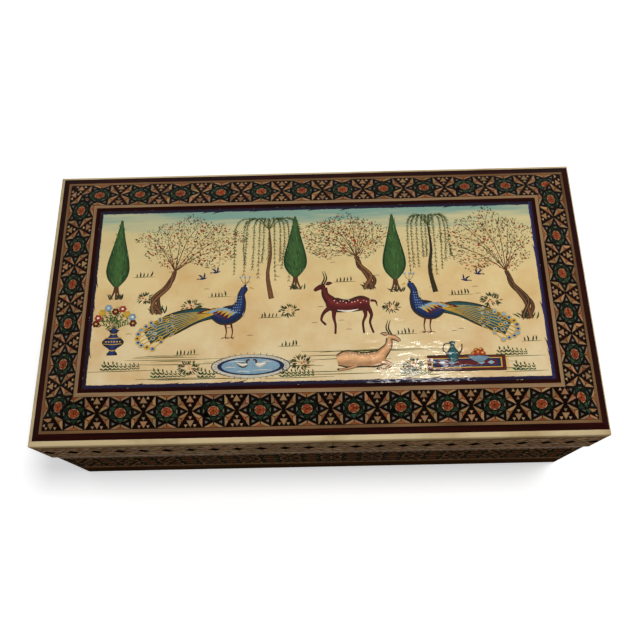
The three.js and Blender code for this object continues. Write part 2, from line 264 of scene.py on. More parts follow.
def tubes(points):
    """Closed tubes from an array of (tube, ring, corner, xyz), as points and faces.

    Quads join each ring to the next, and the first and last rings are closed by one face each. The corners
    run clockwise looking along the tube, so that the faces point out.
    """
    index = np.arange(points[..., 0].size).reshape(points.shape[:3])
    here, there = index[:, :-1], index[:, 1:]
    sides = np.stack([here, np.roll(here, -1, 2), np.roll(there, -1, 2), there], axis=-1)
    return points.reshape(-1, 3), [sides.reshape(-1, 4), index[:, 0, ::-1], index[:, -1]]


def prisms(outlines, drop):
    """Closed prisms under flat outlines (prism, corner, xyz), carried down by the vector drop."""
    count, around = outlines.shape[:2]
    top = np.arange(count * around).reshape(count, around)
    low = top + count * around
    sides = np.stack([low, np.roll(low, -1, 1), np.roll(top, -1, 1), top], axis=-1)
    points = np.concatenate([outlines.reshape(-1, 3), (outlines + drop).reshape(-1, 3)])
    return points, [top, low[:, ::-1], sides.reshape(-1, 4)]


def together(parts):
    """Several (points, faces) as one."""
    faces, start = [], 0
    for points, part_faces in parts:
        faces.extend(face + start for face in part_faces)
        start += len(points)
    return np.concatenate([points for points, _ in parts]), faces


def mesh_of(name, points, faces, tints=None, strip=None):
    """A mesh from points and lists of faces. Tints and strip places are kept as attributes of the points."""
    mesh = bpy.data.meshes.new(name)
    loops = np.concatenate([face.ravel() for face in faces])
    sizes = np.concatenate([np.full(len(face), face.shape[1]) for face in faces])
    mesh.vertices.add(len(points))
    mesh.vertices.foreach_set("co", points.astype(np.float32).ravel())
    mesh.loops.add(len(loops))
    mesh.loops.foreach_set("vertex_index", loops.astype(np.int32))
    mesh.polygons.add(len(sizes))
    mesh.polygons.foreach_set("loop_start", (np.cumsum(sizes) - sizes).astype(np.int32))
    if tints is not None:
        full = np.concatenate([tints, np.ones((len(tints), 1))], axis=1)
        layer = mesh.color_attributes.new("tint", "FLOAT_COLOR", "POINT")
        layer.data.foreach_set("color", full.astype(np.float32).ravel())
    if strip is not None:
        layer = mesh.attributes.new("strip", "FLOAT_VECTOR", "POINT")
        layer.data.foreach_set("vector", strip.astype(np.float32).ravel())
    mesh.update(calc_edges=True)
    return mesh


def read(rows, field, width=1, kind=float):
    """One field of a mesh's points, loops or faces as an array."""
    values = np.empty(len(rows) * width, kind)
    rows.foreach_get(field, values)
    return values.reshape(-1, width) if width > 1 else values


def cut(mesh, planes, closed=False):
    """Cuts a mesh by planes (point, normal), drops what lies ahead of them, and may close the cuts."""
    cutting = bmesh.new()
    cutting.from_mesh(mesh)
    for point, normal in planes:
        made = bmesh.ops.bisect_plane(
            cutting, geom=[*cutting.verts, *cutting.edges, *cutting.faces], dist=1e-8,
            plane_co=point, plane_no=normal, clear_outer=True
        )["geom_cut"]
        if closed:
            rim = [part for part in made if isinstance(part, bmesh.types.BMEdge)]
            bmesh.ops.holes_fill(cutting, edges=rim)
            bmesh.ops.recalc_face_normals(cutting, faces=cutting.faces)
    cutting.to_mesh(mesh)
    cutting.free()


def add_object(name, data):
    """A new object in the scene, at the origin."""
    thing = bpy.data.objects.new(name, data)
    bpy.context.scene.collection.objects.link(thing)
    return thing


def add_piece(mesh, finish, body, replaced=()):
    """A finished piece at the origin that rides on a body and stands for the replaced nodes."""
    piece = add_object(mesh.name, mesh)
    mesh.materials.append(finish)
    mesh.polygons.foreach_set("use_smooth", np.full(len(mesh.polygons), False))
    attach(piece, body)
    if replaced:
        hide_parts(*replaced)
    return piece


# Nodes of the finishes


class Nodes:
    """Short calls that add shader nodes to a tree and link them."""

    def __init__(self, tree):
        self.tree = tree

    def feed(self, node, inputs):
        """Sets a node's inputs to numbers and colours, or links them to other nodes' outputs."""
        for label, value in inputs.items():
            socket = node.inputs[label]
            if isinstance(value, bpy.types.NodeSocket):
                self.tree.links.new(value, socket)
            elif socket.type == "RGBA":
                socket.default_value = (*value, 1)
            else:
                socket.default_value = value

    def add(self, kind, inputs, **settings):
        """A new shader node with its settings and inputs."""
        node = self.tree.nodes.new(f"ShaderNode{kind}")
        for label, value in settings.items():
            setattr(node, label, value)
        self.feed(node, inputs)
        return node

    def maths(self, operation, first, second):
        """The result of an operation on two numbers."""
        return self.add("Math", {0: first, 1: second}, operation=operation).outputs[0]

    def times(self, first, second):
        return self.maths("MULTIPLY", first, second)

    def plus(self, first, second):
        return self.maths("ADD", first, second)

    def vectors(self, operation, first, second, output="Vector"):
        """The result of an operation on two vectors, or on a vector and a number."""
        inputs = {0: first, "Scale" if operation == "SCALE" else 1: second}
        return self.add("VectorMath", inputs, operation=operation).outputs[output]

    def between(self, value, low, high, start=0.0, end=1.0):
        """The value stretched from low and high to start and end, and clamped there."""
        inputs = {"Value": value, "From Min": low, "From Max": high, "To Min": start, "To Max": end}
        return self.add("MapRange", inputs).outputs["Result"]

    def part(self, vector, axis):
        """One coordinate of a vector."""
        return self.add("SeparateXYZ", {"Vector": vector}).outputs[axis]

    def any_ray(self, seen, *kinds):
        """The larger of a value and of the light path's tests for some kinds of ray."""
        rays = self.add("LightPath", {})
        for kind in kinds:
            seen = self.maths("MAXIMUM", seen, rays.outputs[kind])
        return seen


class Finish(Nodes):
    """A new material with its principled shader, and short calls that add nodes in front of it."""

    def __init__(self, name, sockets):
        self.material = bpy.data.materials.new(name)
        self.material.use_nodes = True
        super().__init__(self.material.node_tree)
        self.shader = self.tree.nodes["Principled BSDF"]
        self.feed(self.shader, sockets)

    def attribute(self, name, output):
        """What the piece's points hold under a name."""
        return self.add("Attribute", {}, attribute_name=name).outputs[output]

    def object_place(self, scale=(1, 1, 1)):
        """The place on the piece, scaled along each axis."""
        coordinates = self.add("TexCoord", {}).outputs["Object"]
        return self.add("Mapping", {"Vector": coordinates, "Scale": scale}).outputs["Vector"]

    def noise(self, vector, scale=1.0, detail=3.0, rough=0.55):
        """A cloudy value, mostly between 0.3 and 0.7."""
        inputs = {"Vector": vector, "Scale": scale, "Detail": detail, "Roughness": rough}
        return self.add("TexNoise", inputs).outputs["Fac"]

    def blend(self, share, first, second):
        """The first colour, with a share of the second over it."""
        return self.add("Mix", {0: share, 6: first, 7: second}, data_type="RGBA").outputs[2]

    def rough(self, value, low, high):
        """Roughness that follows a noise between two values."""
        self.feed(self.shader, {"Roughness": self.between(value, 0.3, 0.7, low, high)})

    def raised(self, height, distance, strength=1.0):
        """Bumps in the surface that follow a height."""
        inputs = {"Height": height, "Distance": distance, "Strength": strength}
        self.feed(self.shader, {"Normal": self.add("Bump", inputs).outputs["Normal"]})

    def painted(self, base):
        """The finished material, with its colour in place."""
        self.feed(self.shader, {"Base Color": base})
        return self.material


def inlay_finish(name, roughness, shine, dirt=None):
    """Marquetry: each rod's own tint, with a little grain and fine scratches, and patches of dirt over it."""
    finish = Finish(name, {"Roughness": roughness, "Specular IOR Level": shine})
    here = finish.object_place()
    grain = finish.noise(here, 900.0, 4.0, 0.65)
    patch = finish.noise(here, 45.0, 2.0)
    streaks = finish.between(grain, 0.25, 0.75, 0.82, 1.14)
    level = finish.times(streaks, finish.between(patch, 0.3, 0.7, 0.88, 1.08))
    finish.raised(finish.noise(here, 380.0, 2.0), 0.03 * MM, 0.35)
    tint = finish.attribute("tint", "Color")
    if dirt:
        tint = finish.blend(finish.between(patch, 0.35, 0.65, 0.2, 0.5), tint, dirt)
    return finish.painted(finish.vectors("SCALE", tint, level))


def strip_finish(name, main, vein, shine, stretch=(40, 1400, 1), stain=None, foot=None):
    """Wood or bone along a strip: veins drawn out along it, over slow changes of depth.

    A stain comes in worn patches, and painted shade darkens the strip just above the height of its foot.
    """
    finish = Finish(name, {"Specular IOR Level": shine})
    stretched = finish.vectors("MULTIPLY", finish.attribute("strip", "Vector"), stretch)
    grain = finish.noise(stretched, 1.0, 5.0, 0.6)
    here = finish.object_place()
    worn = finish.noise(here, 60.0, 3.0, 0.6)
    base = finish.blend(finish.between(grain, 0.36, 0.66), main, vein)
    if stain:
        ragged, reach = 0.4 * MM, 1.5 * MM
        base = finish.blend(finish.between(worn, 0.5, 0.74, 0.0, 0.75), base, stain)
        wave = finish.between(finish.noise(here, 160.0), 0.3, 0.7, -ragged, ragged)
        level = finish.plus(finish.part(here, "Z"), wave)
        # Painted shade: the strip turns darker, to a third of the stain's colour, just above its foot, fading
        # out upwards over the reach
        base = finish.blend(finish.between(level, foot, foot + reach, 0.85, 0.0), base, lit(stain, 0.35))
    finish.raised(grain, 0.05 * MM, 0.25)
    finish.rough(worn, 0.3, 0.46)
    return finish.painted(base)


def board_finish(name, settings, stretch):
    """Satin varnished board with its grain along one axis of the box."""
    finish = Finish(name, {"Specular IOR Level": 0.35, "Coat Weight": 0.15, "Coat Roughness": 0.3})
    grain = finish.noise(finish.object_place(stretch), 1.0, 6.0, 0.62)
    bands = finish.noise(finish.object_place(tuple(value * 0.2 for value in stretch)), 1.0, 2.0)
    share = finish.times(finish.between(grain, 0.34, 0.68), finish.between(bands, 0.3, 0.7, 0.35, 1.0))
    finish.rough(grain, 0.42, 0.58)
    finish.raised(grain, 0.06 * MM, 0.3)
    return finish.painted(finish.blend(share, settings.board, settings.board_vein))


def rim_finish(name, settings, stretch):
    """Tan wood of the rim and lip, with its grain along one axis of the box."""
    finish = Finish(name, {"Specular IOR Level": 0.04})
    grain = finish.noise(finish.object_place(stretch), 1.0, 5.0, 0.6)
    finish.rough(grain, 0.4, 0.55)
    finish.raised(grain, 0.04 * MM, 0.3)
    share = finish.between(grain, 0.35, 0.66)
    return finish.painted(finish.blend(share, settings.light_tan, settings.tan_vein))


def brass_finish(settings):
    """Satin brass, a little uneven and tarnished, with fine scratches along X."""
    finish = Finish("brass", {"Metallic": 1.0})
    cloud = finish.noise(finish.object_place(), 260.0, 4.0, 0.6)
    finish.rough(cloud, 0.24, 0.42)
    finish.raised(finish.noise(finish.object_place((300, 3000, 3000))), 0.02 * MM, 0.4)
    tarnish = lit(settings.brass, 0.55)
    return finish.painted(finish.blend(finish.between(cloud, 0.45, 0.75), settings.brass, tarnish))


def lacquer_ripple(finish):
    """Uneven lacquer, drawn out along the brush strokes, so that a lamp glints in short streaks."""
    finish.raised(finish.noise(finish.object_place((260, 620, 300)), 1.0, 1.6, 0.5), 0.07 * MM)


def ground_finish(settings, panel):
    """Cream gesso under old lacquer: mottled, paler along the front with painted sheen, darker with painted
    shade and greener towards the back, and a blue-green wash at the back.
    """
    finish = Finish("painted_ground", {"Roughness": 0.08, "Specular IOR Level": 0.4})
    here = finish.object_place()
    mottle = finish.noise(here, 70.0, 5.0, 0.6)
    speck = finish.noise(here, 1300.0, 3.0, 0.6)
    front, back = panel[0, 1], panel[2, 1]
    ragged, wash_start, wash_end = 3.4 * MM, back - 10 * MM, back - 2 * MM
    brushed = finish.noise(finish.object_place((25, 260, 1)), 1.0, 4.0)
    edge = finish.plus(finish.part(here, "Y"), finish.between(brushed, 0.3, 0.7, -ragged, ragged))
    # Painted sheen: the ground turns paler towards the front
    base = finish.blend(finish.between(edge, front, 0.1 * back), settings.near_ground, settings.ground)
    base = finish.blend(finish.between(mottle, 0.4, 0.7, 0.0, 0.8), base, settings.warm)
    # Painted shade: the ground turns darker and greener towards the back
    base = finish.blend(finish.between(edge, 0.15 * back, 0.8 * back), base, settings.far_ground)
    wash = finish.between(edge, wash_start, wash_end)
    base = finish.blend(finish.times(finish.times(wash, wash), 0.8), base, settings.sky)
    base = finish.blend(finish.between(speck, 0.64, 0.76, 0.0, 0.35), base, settings.warm)
    lacquer_ripple(finish)
    return finish.painted(base)


def paint_finish():
    """Brushed colour under lacquer: each stroke's own tint, thinner and thicker along the brush."""
    finish = Finish("paint", {"Roughness": 0.07, "Specular IOR Level": 0.4})
    body = finish.noise(finish.object_place(), 900.0, 4.0, 0.6)
    lacquer_ripple(finish)
    level = finish.between(body, 0.25, 0.75, 0.78, 1.2)
    return finish.painted(finish.vectors("SCALE", finish.attribute("tint", "Color"), level))


def floor_finish(settings):
    """Pale floor. It shows white to the camera and in reflections, keeps its shadow, and throws little light.

    Its glow makes up for the soft lamp, whose light falls off with the fourth power of the cosine at the
    lamp, which is 1 / (1 + d squared) squared at a distance d from its foot and a height of 1 m.
    """
    finish = Finish("floor", {"Roughness": 0.9, "Specular IOR Level": 0.0})
    seen = finish.any_ray(0.0, "Is Camera Ray", "Is Glossy Ray", "Is Transmission Ray")
    away = finish.vectors("SUBTRACT", finish.object_place(), (*settings.lamp_place[:2], 0))
    squared = finish.vectors("DOT_PRODUCT", away, away, "Value")
    fall = finish.maths("POWER", finish.plus(squared, 1.0), -2.0)
    full_glow, lamp_share = 0.78, 0.42
    glow = finish.plus(finish.times(fall, -lamp_share), full_glow)
    finish.feed(finish.shader, {"Emission Color": (1, 1, 1), "Emission Strength": finish.times(seen, glow)})
    return finish.painted(finish.blend(seen, settings.bounce, settings.floor))


# Strips along the sides


def eased(corner, before, after, radius):
    """A corner of an outline, rounded as a parabola that leaves both edges at the radius from the corner."""
    start = corner + unit(before - corner) * radius
    end = corner + unit(after - corner) * radius
    share = np.linspace(0, 1, 5)[:, None]
    return (1 - share) ** 2 * start + 2 * share * (1 - share) * corner + share ** 2 * end


def section(width, outer_span, inner_span, outer_ease, inner_ease):
    """A strip's outline as (share of the width, height), from the inner low corner over the top.

    The four corners are at the ends of the outer and inner edges' spans of height, and the two upper ones
    are eased.
    """
    inner_low, inner_top = np.array([[width, height] for height in inner_span])
    outer_low, outer_top = np.array([[0.0, height] for height in outer_span])
    outline = np.vstack([
        inner_low,
        eased(inner_top, inner_low, outer_top, inner_ease),
        eased(outer_top, inner_top, outer_low, outer_ease),
        outer_low,
    ])
    return outline / (width, 1)


def stray(along, amount, seed):
    """Smooth small errors along a strip: a sum of three sines of random phase, fading out at both ends."""
    phases = np.random.default_rng(seed).uniform(0, 2 * math.pi, 3)
    waves = sum(np.sin(2 * math.pi * n * along + phase) / n for n, phase in zip((2, 5, 11), phases))
    return amount * waves * np.sin(math.pi * along) ** 0.5


def moulding(side, outer, inner, outline, steps=1, wander=0.0, seed=0):
    """A strip along one side between two rectangles, mitred at both ends, as points, faces and strip places.

    The point at share s along the side and (share w, height z) of the outline lies w of the way from the
    outer to the inner corner at each end, s of the way between the ends, and z up. Its strip place is its
    length along the strip, its length round the outline, and the number of the side.
    """
    i = SIDES.index(side)
    j = (i + 1) % 4
    share, height = outline[:, 0], outline[:, 1]
    first = outer[i] + share[:, None] * (inner[i] - outer[i])
    last = outer[j] + share[:, None] * (inner[j] - outer[j])
    along = np.linspace(0, 1, steps + 1)[:, None]
    inwards = unit(inner[i] - outer[i] + inner[j] - outer[j])
    flat = first + along[..., None] * (last - first) + stray(along, wander, seed)[..., None] * inwards
    points = np.empty((1, steps + 1, len(outline), 3))
    points[0, ..., :2] = flat
    points[0, ..., 2] = height
    risen = np.linalg.norm(np.diff(outline, axis=0, prepend=outline[:1]) * (MM, 1), axis=1)
    strip = np.empty((steps + 1, len(outline), 3))
    strip[..., 0] = along * np.linalg.norm(last[0] - first[0])
    strip[..., 1] = np.cumsum(risen) + share * np.linalg.norm(inner[i] - outer[i])
    strip[..., 2] = i
    return *tubes(points), strip.reshape(-1, 3)


def add_strips(name, walls, spans, eases, finish, body, replaced, wander=0.0, seed=0):
    """Four mitred strips round the box, each its own piece, or one ring where they replace a single node.

    The walls are the outer and inner rectangles, and the spans and eases those of their edges.
    """
    steps = 48
    outline = section(width_of(*walls), *spans, *eases)
    made = [moulding(side, *walls, outline, steps, wander, seed + i) for i, side in enumerate(SIDES)]
    names = [f"{name}_{side}" for side in SIDES]
    if len(replaced) == 1:
        ring = together([(points, faces) for points, faces, _ in made])
        made, names = [(*ring, np.concatenate([strip for _, _, strip in made]))], [name]
    for piece, (points, faces, strip), node in zip(names, made, replaced):
        add_piece(mesh_of(piece, points, faces, strip=strip), finish, body, [node])


class FrameLines:
    """The rectangles and heights of the sloping frame on the lid, read from the construction."""

    def __init__(self):
        self.rim = ring_plan("lid_edging")
        self.field = ring_plan("outer_string")
        self.outer_line = plan("outer_line")
        self.band = ring_plan("star_band")
        self.inner_line = plan("inner_line")
        self.inner_string = plan("inner_string")
        self.panel = plan("painted_panel")
        self.edging_low, self.field_height = (corner.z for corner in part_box("lid_edging_front"))
        self.panel_low, self.panel_height = (corner.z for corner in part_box("painted_panel"))

    def span(self, rectangle):
        """The frame's heights over a rectangle: its top slopes evenly from the edging to the panel."""
        share = width_of(self.field, rectangle) / width_of(self.field, self.inner_string)
        top = self.field_height + share * (self.panel_height - self.field_height)
        return top - (self.panel_height - self.panel_low), top


# Marquetry


# The six directions of a star's points as complex numbers, and half the turn from one to the next
SIXTHS = np.exp(1j * math.pi / 3 * np.arange(6))
TURN = np.exp(1j * math.pi / 6)


def framed(triangles, share, middles=None):
    """Triangles shrunk to a share about their middles or given ones, and the three quads round each."""
    if middles is None:
        middles = triangles.mean(axis=1, keepdims=True)
    small = middles + share * (triangles - middles)
    quads = np.stack([triangles, np.roll(triangles, -1, 1), np.roll(small, -1, 1), small], axis=-1)
    return small, quads.reshape(-1, 4)


def star_tile(settings, reach):
    """One star's rods as (outlines in complex numbers, colour name), squeezed to a half height of reach.

    Six rhombs and six triangles make the flower, within a dark ring. Twelve triangles lie round that, and six
    equilateral triangles make the points, each with a grey middle. The notches between the points hold orange
    triangles with tan along both inner sides.
    """
    radius = settings.tile_radius
    tip = radius * SIXTHS
    notch = radius / math.sqrt(3) * SIXTHS * TURN
    core, ring = settings.core_radius * SIXTHS, settings.ring_radius * SIXTHS
    petal = core / math.sqrt(3) * TURN
    next_tip, next_core, next_ring = np.roll(tip, -1), np.roll(core, -1), np.roll(ring, -1)
    last_notch, last_petal = np.roll(notch, 1), np.roll(petal, 1)
    points = np.stack([last_notch, tip, notch], axis=1)
    grey, black = framed(points, 0.34)
    leaves = np.stack([ring, last_notch, notch], axis=1)
    sage, dark_green = framed(leaves, 0.6)
    gaps = np.stack([tip, next_tip, notch], axis=1)
    long_gap, short_gap = 0.4, 0.52
    share = np.array([long_gap, short_gap, long_gap, long_gap, short_gap, long_gap])[:, None]
    orange, border = framed(gaps, share, (tip + next_tip)[:, None] / 2)
    border = border.reshape(6, 3, 4)[:, 1:].reshape(-1, 4)
    rhombs = np.stack([0 * core, last_petal, core, petal], axis=1)
    rods = [
        (rhombs[0::2], "red"),
        (rhombs[1::2], "orange"),
        (np.stack([petal, core, next_core], axis=1), "cream"),
        (np.stack([core, ring, next_ring, next_core], axis=1), "black"),
        (np.stack([ring, notch, next_ring], axis=1), "green"),
        (dark_green, "deep_green"),
        (sage, "sage"),
        (black, "black"),
        (grey, "grey"),
        (orange, "orange"),
        (border, "tan"),
    ]
    squeeze = reach / (radius * math.sqrt(3) / 2)
    return [(outlines.real + 1j * squeeze * outlines.imag, name) for outlines, name in rods]


def quartered(triangles):
    """The middle triangle of each, and the three round it."""
    a, b, c = triangles.T
    ab, bc, ca = (a + b) / 2, (b + c) / 2, (c + a) / 2
    rest = np.concatenate([np.stack(three, axis=1) for three in ((a, ab, ca), (ab, b, bc), (ca, bc, c))])
    return np.stack([ab, bc, ca], axis=1), rest


def mirrored(outlines):
    """Outlines above the middle line of a band, and the same ones below it."""
    return np.concatenate([outlines, outlines[:, ::-1].conj()])


def bar(width, height):
    """A rectangle's corners as complex numbers, from the origin."""
    return np.array([0, width, width + 1j * height, 1j * height])


def waist_tile(pitch, apex, height):
    """The two dark triangles between a star and the next, whose tips meet at the waist.

    Each is quartered with a tan middle, and its three corners are quartered again with cream middles.
    """
    half = height / math.sqrt(3)
    foot = np.array([[0, half + 1j * height, -half + 1j * height]])
    middle, rest = quartered(mirrored(pitch / 2 + 1j * apex + foot))
    small, black = quartered(rest)
    drawn = 0.92
    return [(framed(middle, drawn)[0], "tan"), (framed(small, drawn)[0], "cream"), (black, "black")]


def lozenge_tile(pitch, height):
    """A dark lozenge in a dull ring between two tan ones, with quartered triangles above and below the gap
    between it and the next.

    Tan and pale bars fill the height above and below these.
    """
    reaches = zip(pitch * np.array([0.3, 0.34, 0.41, 0.48]), height * np.array([0.18, 0.21, 0.32, 0.42]))
    rings = [np.array([along, 1j * up, -along, -1j * up]) for along, up in reaches]
    rods = [(rings[0][None], "black")]
    for inner, outer, name in zip(rings, rings[1:], ("tan", "dull", "tan")):
        rods.append((np.stack([outer, np.roll(outer, -1), np.roll(inner, -1), inner], axis=1), name))
    peak, foot, gap = rings[-1][1].imag, 0.5 * MM, 0.4 * MM
    middle, rest = quartered(mirrored(np.array([[0.5 * pitch + 1j * foot, pitch + 1j * peak, 1j * peak]])))
    width, rise = pitch / 4, height / 2 - gap - peak
    bars = mirrored(width * np.arange(4)[:, None] + bar(width, rise) + 1j * peak)
    return rods + [(middle, "brown"), (rest, "dull"), (bars[0::2], "tan"), (bars[1::2], "pale")]


def toothed_tile(pitch, low, high):
    """A border of pale teeth between tan ones, with a brown line along both edges."""
    line = 0.4 * MM
    teeth = 6
    step = pitch / teeth
    foot = step * np.arange(teeth)[:, None]
    below, above = 1j * (low + line), 1j * (high - line)
    up = foot + np.array([below, step + below, 0.5 * step + above])
    down = foot + np.array([0.5 * step + above, step + below, 1.5 * step + above])
    lines = np.array([[1j * low], [1j * (high - line)]]) + bar(pitch, line)
    return [(up, "pale"), (down, "tan"), (lines, "brown")]


def shrunk(outlines, distance):
    """Convex outlines drawn in by about one distance: scaled about their middles by their inner radius."""
    tiny, least = 1e-9, 0.3
    ahead = np.roll(outlines, -1, axis=1)
    edge = np.linalg.norm(ahead - outlines, axis=2).sum(axis=1)
    area = 0.5 * np.abs((outlines[..., 0] * ahead[..., 1] - ahead[..., 0] * outlines[..., 1]).sum(axis=1))
    inner = 2 * area / np.maximum(edge, tiny)
    middle = outlines.mean(axis=1, keepdims=True)
    share = np.clip(1 - distance / np.maximum(inner, tiny), least, 1)
    return middle + share[:, None, None] * (outlines - middle)


def flat_rods(rods, centres, settings, random):
    """The rods of a tile at each centre: a list of (outlines, tints), each rod a little lighter or darker."""
    palette, spread = inlay_palette(settings), settings.spread
    green_times, warmth_share = 2.2, 0.3
    made = []
    for outlines, name in rods:
        placed = (centres[:, None, None] + outlines).reshape(-1, outlines.shape[1])
        flat = pairs(placed.real, placed.imag)
        uneven = spread * (green_times if "green" in name else 1)
        level = 1 + uneven * random.standard_normal((len(flat), 1))
        warmth = 1 + warmth_share * spread * random.standard_normal((len(flat), 3))
        made.append((flat, np.clip(palette[name] * level * warmth, 0, 1)))
    return made


def trimmed(rods, outline):
    """The rods cut to a convex outline, as a saw cuts them, sorted by their count of corners."""

    def numbered(flat):
        """Outlines as loose points, and the faces on them."""
        return flat.reshape(-1, 2), [np.arange(flat[..., 0].size).reshape(flat.shape[:2])]

    points, faces = together([numbered(flat) for flat, _ in rods])
    points = np.concatenate([points, np.zeros((len(points), 1))], axis=1)
    tints = np.concatenate([np.repeat(tint, flat.shape[1], axis=0) for flat, tint in rods])
    mesh = mesh_of("offcut", points, faces, tints)
    edges = np.roll(outline, -1, axis=0) - outline
    cut(mesh, [((*begin, 0), (edge[1], -edge[0], 0)) for begin, edge in zip(outline, edges)])
    points = read(mesh.vertices, "co", 3)[:, :2]
    tints = read(mesh.color_attributes["tint"].data, "color", 4)[:, :3]
    loops = read(mesh.loops, "vertex_index", kind=np.int32)
    starts = read(mesh.polygons, "loop_start", kind=np.int32)
    bpy.data.meshes.remove(mesh)
    sizes = np.diff(np.append(starts, len(loops)))
    kept = []
    for size in np.unique(sizes):
        face = loops[starts[sizes == size][:, None] + np.arange(size)]
        kept.append((points[face], tints[face[:, 0]]))
    return kept


def face_of(side, outer, outer_height, inner, inner_height):
    """The four corners of a face on one side, from an edge of one rectangle to an edge of another."""
    i = SIDES.index(side)
    j = (i + 1) % 4
    heights = [outer_height, outer_height, inner_height, inner_height]
    return np.column_stack([np.array([outer[i], outer[j], inner[j], inner[i]]), heights])


def inlaid(name, face, slab, fill, settings, ground, finish, body, replaced):
    """A marquetry band: a slab of ground with the rods let into its face, trimmed to the face's outline.

    A point u along and v across the face lies at its origin plus u times the direction along, plus v times
    the direction across.
    """
    along = unit(face[1] - face[0])
    out = unit(np.cross(along, face[3] - face[0]))
    across = np.cross(out, along)
    origin = face[0] - along * (face[0] @ along)
    local = pairs((face - origin) @ along, (face - origin) @ across)
    margin = 0.06 * MM
    ahead, behind = unit(np.roll(local, -1, 0) - local), unit(local - np.roll(local, 1, 0))
    turn = behind[:, 0] * ahead[:, 1] - behind[:, 1] * ahead[:, 0]
    outline = local + (ahead - behind) * margin / turn[:, None]
    parts, tints = [slab], [np.tile(ground, (len(slab[0]), 1))]
    for flat, tint in trimmed(fill(local), outline):
        flat = shrunk(flat, settings.glue)
        parts.append(prisms(origin + flat[..., :1] * along + flat[..., 1:] * across, -settings.slice * out))
        tints.append(np.tile(np.repeat(tint, flat.shape[1], axis=0), (2, 1)))
    mesh = mesh_of(name, *together(parts), np.concatenate(tints))
    return add_piece(mesh, finish, body, [replaced])


def inlay_palette(settings):
    """The tints by name, with brown mixed from tan and black, and dull from pale and tan."""
    names = ("black", "tan", "orange", "red", "green", "deep_green", "sage", "pale", "grey", "cream")
    palette = {name: np.array(getattr(settings, name)) for name in names}
    palette["brown"] = 0.8 * palette["tan"] + 0.2 * palette["black"]
    palette["dull"] = 0.7 * palette["pale"] + 0.3 * palette["tan"]
    return palette


def repeats(left, right, pitch):
    """Numbers of the tiles that cover a stretch, with one to spare at both ends."""
    return np.arange(math.floor(left / pitch) - 1, math.ceil(right / pitch) + 2)


def star_rods(settings, side, rows, seed):
    """Star tiles and waists in rows along a side, as a function of the face's four corners.

    Tile k stands k pitches from the start, and the rows share the height evenly. Several rows lie between
    toothed borders, and each of them is cut to its own share.
    """
    pitch, start = (values[SIDES.index(side)] for values in (settings.pitches, settings.starts))
    apex = 0.25 * MM

    def fill(local):
        random = np.random.default_rng(seed)
        full, left, right = local[2, 1] - local[1, 1], local[0, 0], local[1, 0]
        centres = start + pitch * repeats(left - start, right - start, pitch)
        if rows == 1:
            below, above, rods = 0, 0, []
        else:
            below, above = settings.low_border, settings.top_border
            borders = toothed_tile(pitch, 0, below) + toothed_tile(pitch, full - above, full)
            rods = flat_rods(borders, centres, settings, random)
        height = full - below - above
        reach = height / rows / 2
        tiles = star_tile(settings, reach) + waist_tile(pitch, apex, reach - apex)
        for middle in below + height * (np.arange(rows) + 0.5) / rows:
            row = flat_rods(tiles, centres + 1j * middle, settings, random)
            if rows > 1:
                row = trimmed(row, corners(left - pitch, right + pitch, middle - reach, middle + reach))
            rods += row
        return rods

    return fill


def lozenge_rods(settings, seed):
    """A row of lozenges between two tan lines, as a function of the face's four corners."""
    pitch, line = settings.lozenge_pitch, 1.0 * MM

    def fill(local):
        random = np.random.default_rng(seed)
        height = local[2, 1] - local[1, 1]
        count = repeats(local[0, 0], local[1, 0], pitch)
        centres = settings.lozenge_start + count * pitch + 0.5j * height
        tiles = lozenge_tile(pitch, height - 2 * line)
        lows = np.array([[-0.5j * height], [1j * (0.5 * height - line)]])
        tiles.append((lows + bar(pitch, line), "tan"))
        return flat_rods(tiles, centres, settings, random)

    return fill


# Operators for the pieces of wood, bone and brass


class BOX_OT_star_bands(bpy.types.Operator):
    """Make the star marquetry on the sloping frame of the lid"""

    bl_idname = "cigarette_box.star_bands"
    bl_label = "Star bands"

    def execute(self, context):
        settings, lines = context.scene.box_inlay, FrameLines()
        walls = lines.band, lines.inner_line
        (low, high), (inner_low, inner_high) = (lines.span(wall) for wall in walls)
        drop, sharp = settings.relief, 0.02 * MM
        outline = section(width_of(*walls), (low, high - drop), (inner_low, inner_high - drop), sharp, sharp)
        finish = inlay_finish("lacquered_inlay", 0.35, 0.05)
        for i, side in enumerate(SIDES):
            slab = moulding(side, *walls, outline)[:2]
            face = face_of(side, walls[0], high, walls[1], inner_high)
            fill = star_rods(settings, side, 1, settings.seed + i)
            name, node = f"star_inlay_{side}", f"star_band_{side}"
            inlaid(name, face, slab, fill, settings, settings.ground, finish, "lid", node)
        return {"FINISHED"}


def stop_bevel(mesh):
    """Cuts a piece of the lid along the bevel where it stops on the base, and closes the cut.

    The bevel is the plane through the hinge axis that rises to the back by half of just over the opening.
    """
    joint = frame["joints"][0]
    spare_angle = 1
    rise = math.radians((joint["range_deg"][1] + spare_angle) / 2)
    cut(mesh, [(joint["pos_m"], (0, math.sin(rise), -math.cos(rise)))], closed=True)


